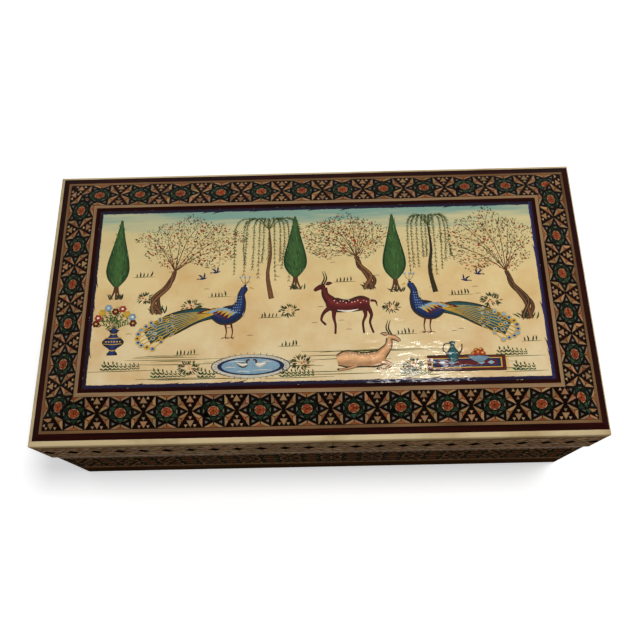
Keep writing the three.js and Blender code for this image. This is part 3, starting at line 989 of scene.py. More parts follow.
class BOX_OT_side_bands(bpy.types.Operator):
    """Make the star marquetry round the base and the row of lozenges round the lid's sides"""

    bl_idname = "cigarette_box.side_bands"
    bl_label = "Side bands"

    def execute(self, context):
        settings = context.scene.box_inlay
        matt = inlay_finish("matt_inlay", 0.6, 0.0, settings.dirt)
        satin = inlay_finish("satin_inlay", 0.6, 0.0)
        brown = inlay_palette(settings)["brown"]
        base_seed, lid_seed = settings.seed + 10, settings.seed + 20
        for i, side in enumerate(SIDES):
            stars = star_rods(settings, side, settings.base_rows, base_seed + i)
            self.veneer(settings, side, "base", stars, settings.ground, matt)
            lozenges = lozenge_rods(settings, lid_seed + i)
            stop_bevel(self.veneer(settings, side, "lid", lozenges, brown, satin).data)
        return {"FINISHED"}

    def veneer(self, settings, side, body, fill, ground, finish):
        """One veneer, set back by the relief of its rods, with the rods let into its face."""
        outer, inner, (low, high) = ring_walls(f"{body}_khatam")
        set_back = settings.relief / width_of(outer, inner)
        outline = np.array([[1, low], [1, high], [set_back, high], [set_back, low]])
        slab = moulding(side, outer, inner, outline)[:2]
        face = face_of(side, outer, low, outer, high)
        name, node = f"{body}_inlay_{side}", f"{body}_khatam_{side}"
        return inlaid(name, face, slab, fill, settings, ground, finish, body, node)


class BOX_OT_strips(bpy.types.Operator):
    """Make the pale edging, the strings and lines of the frame, and the plinth and line of the base"""

    bl_idname = "cigarette_box.strips"
    bl_label = "Strips"

    def execute(self, context):
        settings, lines = context.scene.box_strips, FrameLines()
        self.edging(settings, lines)
        self.frame_lines(settings, lines)
        self.base_lines(settings)
        return {"FINISHED"}

    def edging(self, settings, lines):
        """The pale edging, whose top slopes up to its inner edge."""
        low, high = lines.edging_low, lines.field_height
        spans = (low, high - settings.edging_rise), (low, high)
        dull = lit(settings.bone, 0.9)
        # The edging's stain comes in worn patches, and painted shade darkens it just above its foot, at low
        bone = strip_finish("bone", settings.bone, dull, 0.0, (90, 900, 1), settings.bone_stain, low)
        walls, eases = (lines.rim, lines.field), (settings.ease, settings.fine_ease)
        add_strips("bone_edging", walls, spans, eases, bone, "lid", ring_nodes("lid_edging"))

    def frame_lines(self, settings, lines):
        """The strings and lines, whose tops follow the frame's slope."""
        shine = 0.05
        maroon = strip_finish("maroon_wood", settings.maroon, settings.maroon_vein, shine)
        tan = strip_finish("tan_wood", settings.tan, settings.tan_vein, shine)
        light = strip_finish("light_tan_wood", settings.light_tan, settings.tan, shine)
        eases, strings, first_seed = (settings.fine_ease,) * 2, ring_nodes("outer_string"), 31
        courses = [
            ("maroon_string", (lines.field, lines.outer_line), maroon, "maroon_wood", strings),
            ("tan_outer_line", (lines.outer_line, lines.band), tan, "tan_wood", ["outer_line"]),
            ("tan_inner_line", (lines.inner_line, lines.inner_string), light, "tan_wood", ["inner_line"]),
        ]
        for i, (name, walls, finish, slot, replaced) in enumerate(courses):
            spans = [lines.span(wall) for wall in walls]
            stray_by, seed = settings.wander, first_seed + i
            add_strips(name, walls, spans, eases, finish, "lid", replaced, stray_by, seed)
        low, high = lines.span(lines.inner_string)
        walls, sunk = (lines.inner_string, lines.panel), 0.1 * MM
        spans, replaced = ((low, high - sunk),) * 2, ["inner_string"]
        add_strips("maroon_inner_string", walls, spans, eases, maroon, "lid", replaced)

    def base_lines(self, settings):
        """The plinth and the line above it, as thick and high as their nodes."""
        courses = [
            ("foot_plinth", "plinth", settings.dark, settings.dark_vein, "dark_wood"),
            ("foot_line", "base_line", settings.brown, settings.dark, "tan_wood"),
        ]
        eases = (settings.fine_ease,) * 2
        for name, ring, main, vein, slot in courses:
            *walls, span = ring_walls(ring)
            finish = strip_finish(name, main, vein, 0.0)
            add_strips(name, walls, (span, span), eases, finish, "base", ring_nodes(ring))


def dress(node, finish):
    """Gives a construction node a finish without touching its shape."""
    piece = frame["nodes"][node]
    if piece.material_slots:
        piece.material_slots[0].material = finish
    else:
        piece.data.materials.append(finish)


class BOX_OT_boards(bpy.types.Operator):
    """Finish the carcass boards, the rim of the base and the lip of the lid, which keep their made shapes"""

    bl_idname = "cigarette_box.boards"
    bl_label = "Boards"

    def execute(self, context):
        settings = context.scene.box_strips
        board_x = board_finish("board_along_x", settings, (22, 420, 420))
        board_y = board_finish("board_along_y", settings, (420, 22, 420))
        rim_x = rim_finish("rim_along_x", settings, (40, 900, 900))
        rim_y = rim_finish("rim_along_y", settings, (900, 40, 900))
        for side, board, rim in zip(SIDES, (board_x, board_y) * 2, (rim_x, rim_y) * 2):
            dress(f"base_board_{side}", board)
            dress(f"lid_rail_{side}", board)
            dress(f"base_rim_{side}", rim)
            dress(f"lid_lip_{side}", rim)
        dress("bottom_board", board_x)
        dress("lid_board", board_x)
        dress("divider", board_y)
        return {"FINISHED"}


# Hinges


def round_bar(start, end, radius, ease, axis):
    """A bar along X with eased ends: rings of points round the axis, smaller by the ease at both ends."""
    turn = -np.linspace(0, 2 * math.pi, 40, endpoint=False)
    steps = np.array([start, start + ease, end - ease, end])
    reach = np.array([radius - ease, radius, radius, radius - ease])
    points = np.empty((1, len(steps), len(turn), 3))
    points[0, ..., 0] = steps[:, None]
    points[0, ..., 1] = axis[1] + reach[:, None] * np.cos(turn)
    points[0, ..., 2] = axis[2] + reach[:, None] * np.sin(turn)
    return tubes(points)


def flat_bar(start, end, front, back, low, high, ease):
    """A flat bar along X: a rectangle in Y and Z with eased corners, carried from the start to the end."""
    around = corners(back, front, low, high)[[0, 3, 2, 1]]
    neighbours = np.roll(around, 1, 0), np.roll(around, -1, 0)
    outline = np.vstack([eased(*corner, ease) for corner in zip(around, *neighbours)])
    points = np.empty((1, 2, len(outline), 3))
    points[0, :, :, 0] = np.array([start, end])[:, None]
    points[0, :, :, 1:] = outline
    return tubes(points)


def screw_head(x, y, z, direction, turn):
    """A slotted screw head: a low dome over rings and spokes, with the slot pressed into the dome.

    The dome falls from its height at the middle by the square of the share of the radius.
    """
    radius, dome, edge = 0.95 * MM, 0.09 * MM, 0.2 * MM
    slot_depth, slot_half, slot_end = 0.12 * MM, 0.16 * MM, 0.97
    share = np.linspace(0, 1, 13)[1:, None]
    spoke = np.linspace(0, 2 * math.pi, 40, endpoint=False)
    across, along = share * radius * np.cos(spoke), share * radius * np.sin(spoke)
    height = dome * (1 - share ** 2) + 0 * spoke
    in_slot = np.abs(math.cos(turn) * across + math.sin(turn) * along) < slot_half
    height = np.where(in_slot & (share < slot_end), height - slot_depth, height)
    rings = np.stack([across, along, height], axis=-1)
    rings = np.concatenate([rings, rings[-1:] - (0, 0, edge)])
    if direction < 0:
        rings = rings[:, ::-1] * (1, 1, -1)
    return tubes((rings[::-1] + (x, y, z))[None, :, ::-1])


class BOX_OT_hinges(bpy.types.Operator):
    """Make the two brass butt hinges with their pins and screws"""

    bl_idname = "cigarette_box.hinges"
    bl_label = "Hinges"

    def execute(self, context):
        finish = brass_finish(context.scene.box_strips)
        axis = frame["joints"][0]["pos_m"]
        rim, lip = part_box("base_rim_front")[1].z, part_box("lid_lip_front")[0].z
        for hand in ("left", "right"):
            for body, knuckles, face, direction in (("base", (0, 2), rim, 1), ("lid", (1,), lip, -1)):
                parts = self.leaf(f"hinge_{body}_leaf_{hand}", knuckles, face, direction, axis)
                self.add(f"brass_{body}_leaf_{hand}", parts, finish, body, f"hinge_{body}_leaf_{hand}")
            low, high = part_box(f"hinge_pin_{hand}")
            pin = round_bar(low.x, high.x, (high.z - low.z) / 2, 0.15 * MM, axis)
            self.add(f"brass_pin_{hand}", [pin], finish, "base", f"hinge_pin_{hand}")
        return {"FINISHED"}

    def add(self, name, parts, finish, body, node):
        """One brass piece, made of several closed parts."""
        add_piece(mesh_of(name, *together(parts)), finish, body, [node])

    def leaf(self, node, knuckles, face, direction, axis):
        """A plate let into the wood's face, its knuckles round the axis with their webs, and two screws."""
        low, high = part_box(node)
        radius = high.y - axis[1]
        gap, thickness, clearance, overlap = 0.2 * MM, 0.8 * MM, 0.25 * MM, 0.3 * MM
        plate_ease, knuckle_ease, web_ease, screw_depth = 0.08 * MM, 0.12 * MM, 0.05 * MM, 0.02 * MM
        length = (high.x - low.x - 2 * gap) / 3
        span = sorted((face, face - direction * thickness))
        back = axis[1] - radius - clearance
        parts = [flat_bar(low.x, high.x, low.y, back, *span, plate_ease)]
        for k in knuckles:
            start = low.x + k * (length + gap)
            parts.append(round_bar(start, start + length, radius, knuckle_ease, axis))
            parts.append(flat_bar(start, start + length, back - overlap, axis[1], *span, web_ease))
        for share, turn in ((0.22, 0.4), (0.78, 1.3)):
            x, y = low.x + share * (high.x - low.x), (low.y + back) / 2
            parts.append(screw_head(x, y, face - direction * screw_depth, direction, turn))
        return parts


# The painting


def curve(points, count=12):
    """A smooth line through the points: each stretch is the cubic that passes each of its two ends in the
    direction of the chord between that end's neighbours, at half the chord's length for a unit step."""
    points = np.asarray(points, float)
    ends = np.vstack([2 * points[0] - points[1], points, 2 * points[-1] - points[-2]])
    along = np.linspace(0, len(points) - 1, count)
    i = np.minimum(along.astype(int), len(points) - 2)
    u = (along - i)[:, None]
    a, b, c, d = ends[i], ends[i + 1], ends[i + 2], ends[i + 3]
    square, cube = 2 * a - 5 * b + 4 * c - d, 3 * b - a - 3 * c + d
    return 0.5 * (2 * b + (c - a) * u + square * u ** 2 + cube * u ** 3)


def spaced(values, count):
    """Values spread evenly over a stretch, joined by a smooth curve and read off at evenly spread places."""
    least = 0.02
    return np.maximum(curve(np.reshape(values, (-1, 1)), count)[:, 0], least)


def polar(reach, angle):
    """Places at a reach and an angle from the origin."""
    return pairs(reach * np.cos(angle), reach * np.sin(angle))


def ground_level(settings):
    """The panel's ground: its level, and a swell that is a sum of four crossing sines."""
    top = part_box("painted_panel")[1].z - settings.sink
    waves = ((310, 140, 0.4), (-170, 420, 1.9), (620, -260, 3.1), (90, 760, 4.4))

    def level(x, y):
        total = sum(np.sin(a * x + b * y + phase) for a, b, phase in waves)
        return top + settings.swell * total / len(waves)

    return level


class Brush:
    """Strokes on the lid's panel. Places and widths are in millimetres from the panel's middle.

    A stroke is a closed low ridge along its line: at each step its section has two feet at plus and minus
    the half width and two shoulders a little further in, raised by its layer. A tint is the name of one of
    the painting's colours, or a pair of a name and a level of light, or an array.
    """

    def __init__(self, settings, step):
        """A brush for one piece, whose random draws start from the seed and the piece's own step."""
        self.settings = settings
        self.ground = ground_level(settings)
        self.random = np.random.default_rng(settings.seed + step)
        self.parts, self.tints, self.made = [], [], 0
        self.at(0, 0)

    def at(self, x, y, size=1.0, facing=1):
        """Moves the origin of the next strokes, sizes them, and turns them to face right (1) or left (-1)."""
        self.origin = np.array([x, y], float)
        self.size, self.facing = size, facing
        return self

    def tone(self, tint):
        """A tint as an array."""
        if isinstance(tint, str):
            return np.array(getattr(self.settings, tint))
        return lit(self.tone(tint[0]), tint[1]) if isinstance(tint, tuple) else tint

    def mixed(self, count, *tints):
        """One of a few tints for each of many strokes."""
        return np.array([self.tone(tint) for tint in tints])[self.random.integers(len(tints), size=count)]

    def lines(self, spines, halves, tint, layer=1.0):
        """Many strokes at once, or one: spines (stroke, step, xy), half widths (stroke, step), and tints."""
        foot, shoulder, uneven = -0.012, 0.82, 0.08
        layer_rise, order_rise, orders = 0.026, 0.0012, 16
        spines = np.asarray(spines, float) * self.size * (self.facing, 1) + self.origin
        spines = spines.reshape(-1, *spines.shape[-2:])
        halves = np.broadcast_to(halves, spines.shape[:2]) * self.size
        step = unit(np.gradient(spines, axis=1) + 1e-9)
        side = pairs(-step[..., 1], step[..., 0])
        order = (self.made + np.arange(len(spines))) % orders
        self.made += len(spines)
        lift = (layer_rise * layer + order_rise * order)[:, None]
        rings = []
        for share, height in ((1, foot), (shoulder, lift), (-shoulder, lift), (-1, foot)):
            flat = (spines + share * halves[..., None] * side) * MM
            level = self.ground(flat[..., 0], flat[..., 1]) + height * MM
            rings.append(np.concatenate([flat, level[..., None]], axis=-1))
        self.parts.append(tubes(np.stack(rings, axis=2)))
        level = 1 + uneven * self.random.standard_normal((len(spines), 1))
        tints = np.clip(np.broadcast_to(self.tone(tint), (len(spines), 3)) * level, 0, 1)
        self.tints.append(np.repeat(tints, spines.shape[1] * 4, axis=0))

    def line(self, points, widths, tint, layer=1.0, count=12):
        """One stroke through a few points, whose half widths run evenly through the given ones."""
        self.lines(curve(points, count), spaced(widths, count), tint, layer)

    def shaded(self, points, widths, tint, layer=2.0, light=1.7, count=16, rim=0.2, steps=5, ink="ink"):
        """A rounded form in thick paint: an ink line, then strokes on each other, ever narrower and lighter,
        and each a little higher up than the last."""
        dark = 0.68
        points, widths = np.array(points), np.array(widths)
        self.line(points, widths + rim, ink, layer - 0.5, count)
        wide = spaced(widths, len(points))
        for k in range(steps):
            share = k / steps
            level = dark + (light - dark) * share ** 1.4
            moved = points + np.outer(wide, (0, 0.3 * share))
            self.line(moved, widths * (1 - share), (tint, level), layer + 0.3 * k, count)

    def dots(self, centres, radii, tint, layer=2.0):
        """Round dots: short strokes whose half width follows a circle."""
        blunt = 0.15
        centres = np.atleast_2d(centres)
        radii = np.broadcast_to(radii, len(centres))[:, None]
        angle = np.linspace(blunt, math.pi - blunt, 6)
        spines = centres[:, None] + radii[..., None] * pairs(-np.cos(angle), 0 * angle)
        self.lines(spines, radii * np.sin(angle), tint, layer)

    def leaves(self, feet, angles, lengths, tint, layer=1.0, fullness=0.24):
        """Pointed leaves from their feet, each bent a little."""
        bend = 0.35
        along = np.linspace(0, 1, 4)
        angles = np.asarray(angles)[:, None] + bend * (along - 0.5)
        lengths = np.broadcast_to(lengths, len(angles))[:, None]
        spines = np.asarray(feet)[:, None] + polar(lengths * along, angles)
        self.lines(spines, lengths * fullness * np.array([0.25, 1.0, 0.8, 0.08]), tint, layer)

    def piece(self, name, finish):
        """All the strokes so far as one piece."""
        mesh = mesh_of(name, *together(self.parts), np.concatenate(self.tints))
        add_piece(mesh, finish, "lid")


class BOX_OT_ground(bpy.types.Operator):
    """Make the panel's cream ground"""

    bl_idname = "cigarette_box.ground"
    bl_label = "Painted ground"

    def execute(self, context):
        settings = context.scene.box_paint
        panel = plan("painted_panel")
        # A ring at each x runs over the top at the ground's level, from back to front, and its ends drop to
        # the panel's foot, so that the rings close into a slab
        columns, rows = 180, 76
        x = np.linspace(panel[0, 0], panel[1, 0], columns)
        y = np.linspace(panel[0, 1], panel[2, 1], rows)
        rings = np.empty((1, columns, rows + 2, 3))
        rings[0, :, :, 0] = x[:, None]
        rings[0, :, 1:-1, 1] = y[::-1]
        rings[0, :, 0, 1], rings[0, :, -1, 1] = y[-1], y[0]
        rings[0, :, 1:-1, 2] = ground_level(settings)(x[:, None], y[None, ::-1])
        rings[0, :, [0, -1], 2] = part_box("painted_panel")[0].z
        mesh = mesh_of("painted_ground", *tubes(rings))
        add_piece(mesh, ground_finish(settings, panel), "lid", ["painted_panel"])
        return {"FINISHED"}


def border_lines(brush):
    """The brushed dark line round the painting, in overlapping strokes with a ragged inner edge. Its blue
    paint is strongest on the right as painted reflection, and its thin inner stroke is lighter, a painted
    highlight.
    """
    panel = plan("painted_panel") / MM
    random = brush.random
    dark, blue = brush.tone("violet"), brush.tone("border")
    # The third, thin stroke is drawn lighter than the others: a painted highlight along the raised paint
    strokes = ((0.36, 0.42, 0.6, 2), (0.76, 0.34, 0.9, 2.6), (0.88, 0.14, 1.4, 3.4))
    # The share of blue on the front, right, back and left: blue paint, with most on the right as painted
    # reflection
    for i, blue_and_painted_reflection in enumerate((0.3, 0.75, 0.15, 0.05)):
        tint = dark + blue_and_painted_reflection * (blue - dark)
        start, end = panel[i], panel[(i + 1) % 4]
        length = np.linalg.norm(end - start)
        along, inwards = (end - start) / length, unit(panel[(i + 2) % 4] - end)
        step_length, patch_length = 0.5, 14
        count, patches = int(length / step_length), int(length / patch_length)
        steps = np.linspace(0.05, length - 0.05, count)
        for offset, half, level, layer in strokes:
            wave = 0.03 * np.sin(steps * 0.8 + 2 * i) + 0.045 * random.standard_normal(count)
            spine = start + steps[:, None] * along + offset * inwards
            brush.lines(spine, half + wave, lit(tint, level), layer)
        feet = start + random.uniform(2, length - 5, patches)[:, None] * along + 1.1 * inwards
        heading = math.atan2(along[1], along[0]) + random.normal(0, 0.03, patches)
        brush.leaves(feet, heading, random.uniform(1.5, 4, patches), tint, 2.5, 0.06)


def blossom_tree(brush, lean, height, spread):
    """A twisted trunk, forked branches, and a crown of fine leaves and red blossom.

    The trunk's three strands swing about its curved middle line by a sine that fades upwards. The crown's
    leaves lie where random points of a wavy circle are carried to an oval, and point away from the trunk.
    """
    random = brush.random
    leaves, blossoms = 950, 180
    share = np.linspace(0, 1, 26)
    top = np.array([0.5 * lean, 0.44 * height])
    crown = np.array([lean, height - spread[1]])
    middle = curve([(0, 0), (-0.1 * lean, 0.15 * height), (0.32 * lean, 0.3 * height), top], 26)
    brush.lines(middle, 1.7 - 1.1 * share, "warm", 0.4)
    feet = random.normal(0, 1.3, (16, 2)) * (1, 0.25)
    brush.leaves(feet, random.uniform(0.7, 2.4, 16), 2.6, "deep_leaf", 1, 0.1)
    for k, level in enumerate((0.7, 1.05, 1.5)):
        swing = (1.3 - 1.0 * share) * np.sin(2 * math.pi * (1.05 * share + k / 3))
        spine = middle + pairs(swing, 0 * swing)
        half, layer = 0.5 - 0.3 * share, 0.6 * k
        brush.lines(spine, half + 0.2, "ink", 1.6 + layer)
        brush.lines(spine, half, ("bark", level), 2 + layer)
        brush.lines(spine, 0.3 * half, ("bark", 1.6 * level), 2.3 + layer)
    twig_bark = ("bark", 0.7)
    for turn in np.linspace(-0.2, 3.35, 8):
        end = crown + 0.8 * spread * (math.cos(turn), math.sin(turn)) + random.normal(0, 0.5, 2)
        bend = 0.5 * (top + end) + (0, 0.12 * np.linalg.norm(end - top)) + random.normal(0, 0.4, 2)
        branch = curve([top, bend, end])
        brush.lines(branch, np.linspace(0.15, 0.03, len(branch)), twig_bark, 1.5)
        for k in (5, 8):
            twig = branch[k] + spread * random.normal(0, 0.16, 2) + 0.25 * (end - top)
            bend = (branch[k] + twig) / 2 + random.normal(0, 0.3, 2)
            brush.line([branch[k], bend, twig], [0.06, 0.05, 0.02], twig_bark, 1, 6)

    def scattered(count, reach):
        """Random points, even over a circle whose radius waves with the angle, carried to an oval."""
        angle = random.uniform(0, 2 * math.pi, count)
        wavy = 1 + 0.1 * np.sin(5 * angle) + 0.06 * np.sin(9 * angle)
        return crown + spread * polar(reach * np.sqrt(random.uniform(0, 1, count)) * wavy, angle)

    feet = scattered(leaves, 1.06)
    away = feet - top
    angles = np.arctan2(away[:, 1], away[:, 0]) + random.normal(0, 0.55, leaves)
    tints = brush.mixed(leaves, "ink", "olive", "deep_leaf")
    brush.leaves(feet, angles, random.uniform(0.4, 0.8, leaves), tints, 1.2, 0.19)
    centres = scattered(blossoms, 1.0)
    tints = brush.mixed(blossoms, "blossom", "blossom", ("blossom", 0.6), "warm")
    brush.dots(centres, random.uniform(0.16, 0.32, blossoms), tints, 3)


def cypress(brush, height):
    """A tall drop of thick green paint, lighter in the middle, on a split trunk in a tuft of grass."""
    random = brush.random
    blades, flecks, foot = 12, 60, -4.2
    feet = pairs(random.normal(0, 1.0, blades), np.full(blades, foot))
    brush.leaves(feet, random.uniform(0.6, 2.5, blades), 2.0, "deep_leaf", 1, 0.12)
    for x in (-0.9, 0.1, 1.0):
        trunk = [(1.7 * x, foot), (0.6 * x, -1.6), (0.35 * x, 1)]
        brush.line(trunk, [0.25, 0.32, 0.36], ("bark", 0.8), 2, 8)
    profile = [0.7, 2.7, 3.45, 3.3, 2.8, 2.2, 1.6, 1.05, 0.55, 0.14]
    brush.shaded([(0, 0), (0, 0.5 * height), (0, height)], profile, "leaf", 2.5, 1.3, 22, ink="deep_leaf")
    across, up = random.uniform(-0.8, 0.8, flecks), random.uniform(0.03, 0.88, flecks)
    width = spaced(profile, flecks)[(up * (flecks - 1)).astype(int)]
    tints = brush.mixed(flecks, ("leaf", 1.7), ("leaf", 0.7), "deep_leaf")
    places = pairs(across * width, up * height)
    brush.leaves(places, math.pi / 2 - 0.35 * across, 1.9, tints, 4.2, 0.06)


def willow(brush, height, spread, strands=13):
    """Strands that rise, fall in hooks and hang, with narrow leaves along both sides."""
    random = brush.random
    path = [(0.8, -3), (-0.4, 0.2 * height), (0.5, 0.5 * height), (0, 0.86 * height)]
    brush.line(path, [0.85, 0.6, 0.45, 0.2], "ink", 1.6)
    brush.line(path, [0.68, 0.46, 0.32, 0.1], ("bark", 1.15), 2)
    bare = 10
    for side in np.linspace(-1, 1, strands):
        reach = spread * side + random.normal(0, 0.3)
        low = height * random.uniform(0.12, 0.42)
        strand = curve([
            (0, 0.84 * height), (0.5 * reach, height), (reach, 0.93 * height),
            (1.08 * reach, 0.62 * height), (1.04 * reach + random.normal(0, 0.3), low)
        ], 34)
        brush.lines(strand, 0.08, "olive", 1.2)
        step = np.gradient(strand, axis=0)[bare:]
        heading = np.repeat(np.arctan2(step[:, 1], step[:, 0]), 2)
        feet = np.repeat(strand[bare:], 2, axis=0) + random.normal(0, 0.06, (len(heading), 2))
        angles = heading + np.tile([0.5, -0.5], len(step)) + random.normal(0, 0.12, len(heading))
        tints = brush.mixed(len(feet), "olive", "deep_leaf")
        brush.leaves(feet, angles, random.uniform(0.75, 1.1, len(feet)), tints, 1.6, 0.11)


def shrub(brush, size):
    """Leaves that burst all round from a low middle, with red buds among them."""
    random = brush.random
    count, buds = int(60 * size), 8
    angle = random.uniform(0, 2 * math.pi, count)
    feet = size * polar(random.uniform(0.4, 1.0, count), angle) * (2.4, 1.5)
    brush.leaves(feet, angle, size ** 0.5, brush.mixed(count, "ink", "olive", "deep_leaf"), 1, 0.17)
    places = size * random.normal(0, 0.7, (buds, 2)) * (1.3, 0.7)
    brush.dots(places, random.uniform(0.16, 0.28, buds), brush.mixed(buds, "blossom", "warm"), 3)


def tuft(brush, count):
    """A comb of short leaning blades on a thin line."""
    random = brush.random
    x = np.linspace(-0.42, 0.42, count) * count
    angle = 1.35 + random.normal(0, 0.14, count)
    tints = brush.mixed(count, "deep_leaf", "ink")
    brush.leaves(pairs(x, 0.08 * x), angle, random.uniform(1.2, 1.9, count), tints, 2, 0.15)
    brush.line([(x[0] - 1, -0.1), (0, 0), (x[-1] + 1.5, 0)], [0.05, 0.12, 0.04], "olive", 1, 8)


def fern(brush, count):
    """A row of small green fronds on a line, each with leaves in pairs, lower towards its end."""
    random = brush.random
    step = 1.25
    for k in range(count):
        tall = 2.9 - 1.3 * k / count + random.normal(0, 0.15)
        stem = np.outer([0.1, 0.1, 0.4, 0.4, 0.7], (0.1, 1.0)) * tall
        angles = np.array([0.6, 2.5, 0.9, 2.2, 1.5]) + random.normal(0, 0.08, 5)
        tints = brush.mixed(5, "leaf", "olive", "deep_leaf")
        brush.leaves(stem + (step * (k - count / 2), 0.04 * k), angles, 0.42 * tall, tints, 1.6, 0.24)
    brush.line([(-step * count, -0.1), (0, 0), (step * count, 0.1)], [0.05, 0.12, 0.04], "olive", 1, 10)


class BOX_OT_trees(bpy.types.Operator):
    """Paint the blossom trees, willows and cypresses, and the line round the painting"""

    bl_idname = "cigarette_box.trees"
    bl_label = "Painted trees"

    def execute(self, context):
        settings = context.scene.box_paint
        finish = paint_finish()
        brush = Brush(settings, 0)
        blossom_tree(brush.at(-47, -6), 9, 31, np.array([15, 8]))
        blossom_tree(brush.at(16, 0.5), -7, 24.5, np.array([13, 7]))
        blossom_tree(brush.at(62, -10), -9, 35, np.array([13, 9.5]))
        brush.piece("painted_blossom_trees", finish)
        brush = Brush(settings, 1)
        willow(brush.at(-14, 1), 24, 9)
        willow(brush.at(35, 2), 23, 6, 10)
        for x, y, height in ((-60, 3, 22.5), (-6, 5, 20.5), (24, 3.5, 22)):
            cypress(brush.at(x, y), height)
        brush.piece("painted_cypresses_and_willows", finish)
        brush = Brush(settings, 2)
        border_lines(brush)
        brush.piece("painted_border", finish)
        return {"FINISHED"}


def peacock(brush):
    """A peacock with a folded train, drawn facing right from its foot.

    The train's feathers are curves from the rump to an arc of ends, with an eye of three dots at each end and
    others further in.
    """
    brush.shaded([(-2, 8), (-9, 7.6), (-17, 4.6), (-24, 0.6)], [1.2, 2.6, 3.6, 2.4], "teal", 2, 1.5)
    ends = curve([(-23, 5.4), (-26.6, 2.2), (-26.4, -1.4), (-22, -3.2)], 9)
    for k, end in enumerate(ends):
        feather = curve([(-2.5, 8.2), (-10, 8.6 - 0.42 * k), 0.55 * end + (-5.4, 4.4 - 0.25 * k), end], 16)
        brush.lines(feather, np.linspace(0.1, 0.16, 16), "yellow", 4.2)
        eyes = feather[[15, 12 - k % 2, 9 - k % 2]]
        for grow, tint, layer in ((1.0, "yellow", 4.6), (0.72, "blue", 5), (0.42, "navy", 5.4)):
            brush.dots(eyes, grow * np.array([0.92, 0.74, 0.56]), tint, layer)
    body = [(-4.6, 8.4), (-0.4, 7.2), (3.4, 8.6), (5.0, 11.4), (5.1, 14.4), (6.2, 16.6)]
    brush.shaded(body, [1.1, 3.0, 2.8, 1.6, 1.0, 1.0], "navy", 3, 2.4, 24)
    wing = curve([(-5.5, 8.2), (-1.8, 9.6), (2.0, 8.4)], 9)
    for row, (tint, reach) in enumerate((("maroon", 4.2), ("yellow", 3.2), ("blue", 2.2))):
        feet = wing + (0.9 + 0.5 * row, 0.1 * row)
        brush.leaves(feet, np.linspace(2.95, 3.65, 9), reach, tint, 4.4 + 0.4 * row, 0.17)
    x, y = np.meshgrid(np.linspace(2.6, 4.6, 4), np.linspace(8.2, 13, 7))
    shift = 0.12 * (y - 8)
    brush.dots(pairs(x + shift, y + shift).reshape(-1, 2), 0.17, "blue", 4.9)
    brush.shaded([(5.9, 16.6), (6.9, 16.9)], [0.85, 0.95], "navy", 3.6, 2.2, 6, 0.1)
    brush.dots([(6.9, 17.1)], 0.24, "white", 5.4)
    brush.line([(7.7, 16.9), (9.2, 16.2)], [0.32, 0.06], "yellow", 4, 4)
    for x in (-1.5, 0.0, 1.5):
        brush.line([(6.3, 17.8), (6.3 + 0.7 * x, 19), (6.2 + x, 20.2)], [0.08, 0.07, 0.06], "ink", 2, 6)
        brush.dots([(6.2 + x, 20.4)], 0.36, "blue", 3)
    for x in (0.2, 2.1):
        brush.line([(x, 4.6), (x + 0.5, 2), (x + 0.2, 0)], [0.36, 0.2, 0.16], "maroon", 2, 8)
        brush.leaves([(x, 0)] * 3, [-0.5, 0.1, 3.3], 1.3, "maroon", 2, 0.1)


def gazelle_head(brush, coat, x, y):
    """A gazelle's head, ear and curved horns from the top of its neck."""
    for shift in (x, x + 0.8):
        horn = [(shift, y + 0.8), (shift - 0.9, y + 3.2), (shift - 0.1, y + 5.8)]
        brush.line(horn, [0.3, 0.25, 0.07], "ink", 2.5, 10)
    brush.leaves([(x - 0.5, y + 0.6)], [2.75], 2.5, "ink", 2.8, 0.3)
    brush.leaves([(x - 0.6, y + 0.65)], [2.75], 2.1, coat, 3.3, 0.24)
    muzzle = [(x - 0.3, y), (x + 1.6, y - 0.4), (x + 3.4, y - 1.5)]
    brush.shaded(muzzle, [0.95, 0.8, 0.42], coat, 3.5, 1.6, 10)
    brush.dots([(x + 0.9, y + 0.1)], 0.2, "ink", 5.2)
    brush.dots([(x + 3.5, y - 1.5)], 0.24, "ink", 5.2)


def leg(brush, coat, *path):
    """A gazelle's leg, with a dark hoof at its end."""
    brush.shaded(path, [0.95, 0.5, 0.3, 0.27], coat, 1.8, 1.4, 12, 0.13, 3)
    brush.dots([path[-1]], 0.36, "ink", 3.4)


def back_spots(brush, left, count, height, swing):
    """White spots along a gazelle's back, in a wave."""
    wave = height + swing * np.sin(2.4 * np.arange(count))
    brush.dots(pairs(np.linspace(left, 4.6, count), wave), 0.2, "white", 5)


def gazelle(brush, coat):
    """A stepping gazelle, drawn facing right from its feet."""
    leg(brush, coat, (-5.4, 9.6), (-6.0, 6.6), (-5.0, 3.8), (-5.2, 0.2))
    leg(brush, coat, (4.6, 9.4), (4.9, 6), (4.4, 3.2), (4.5, 0.2))
    leg(brush, coat, (-6.6, 10), (-8.0, 6.8), (-7.4, 3.8), (-8.4, 0.2))
    leg(brush, coat, (5.8, 9.8), (8.2, 7.8), (9.2, 5.2), (7.8, 3.4))
    body = [(-7.6, 10.9), (-4.6, 11.0), (0, 10.1), (4.4, 10.6), (6.6, 12)]
    brush.shaded(body, [1.6, 2.7, 2.2, 2.6, 1.7], coat, 2.6, 1.75, 20)
    brush.shaded([(5.6, 11.6), (7.6, 14.2), (8.0, 17)], [2.0, 1.2, 0.85], coat, 3, 1.6)
    brush.line([(-3.6, 8.7), (0, 8.1), (3.6, 8.5)], [0.1, 0.4, 0.1], "white", 4.4, 10)
    brush.line([(-7.9, 11.9), (-9.6, 11.6), (-10.2, 9.6)], [0.5, 0.4, 0.1], coat, 4, 8)
    gazelle_head(brush, coat, 8.0, 17.6)
    back_spots(brush, -6.5, 12, 11.6, 0.5)


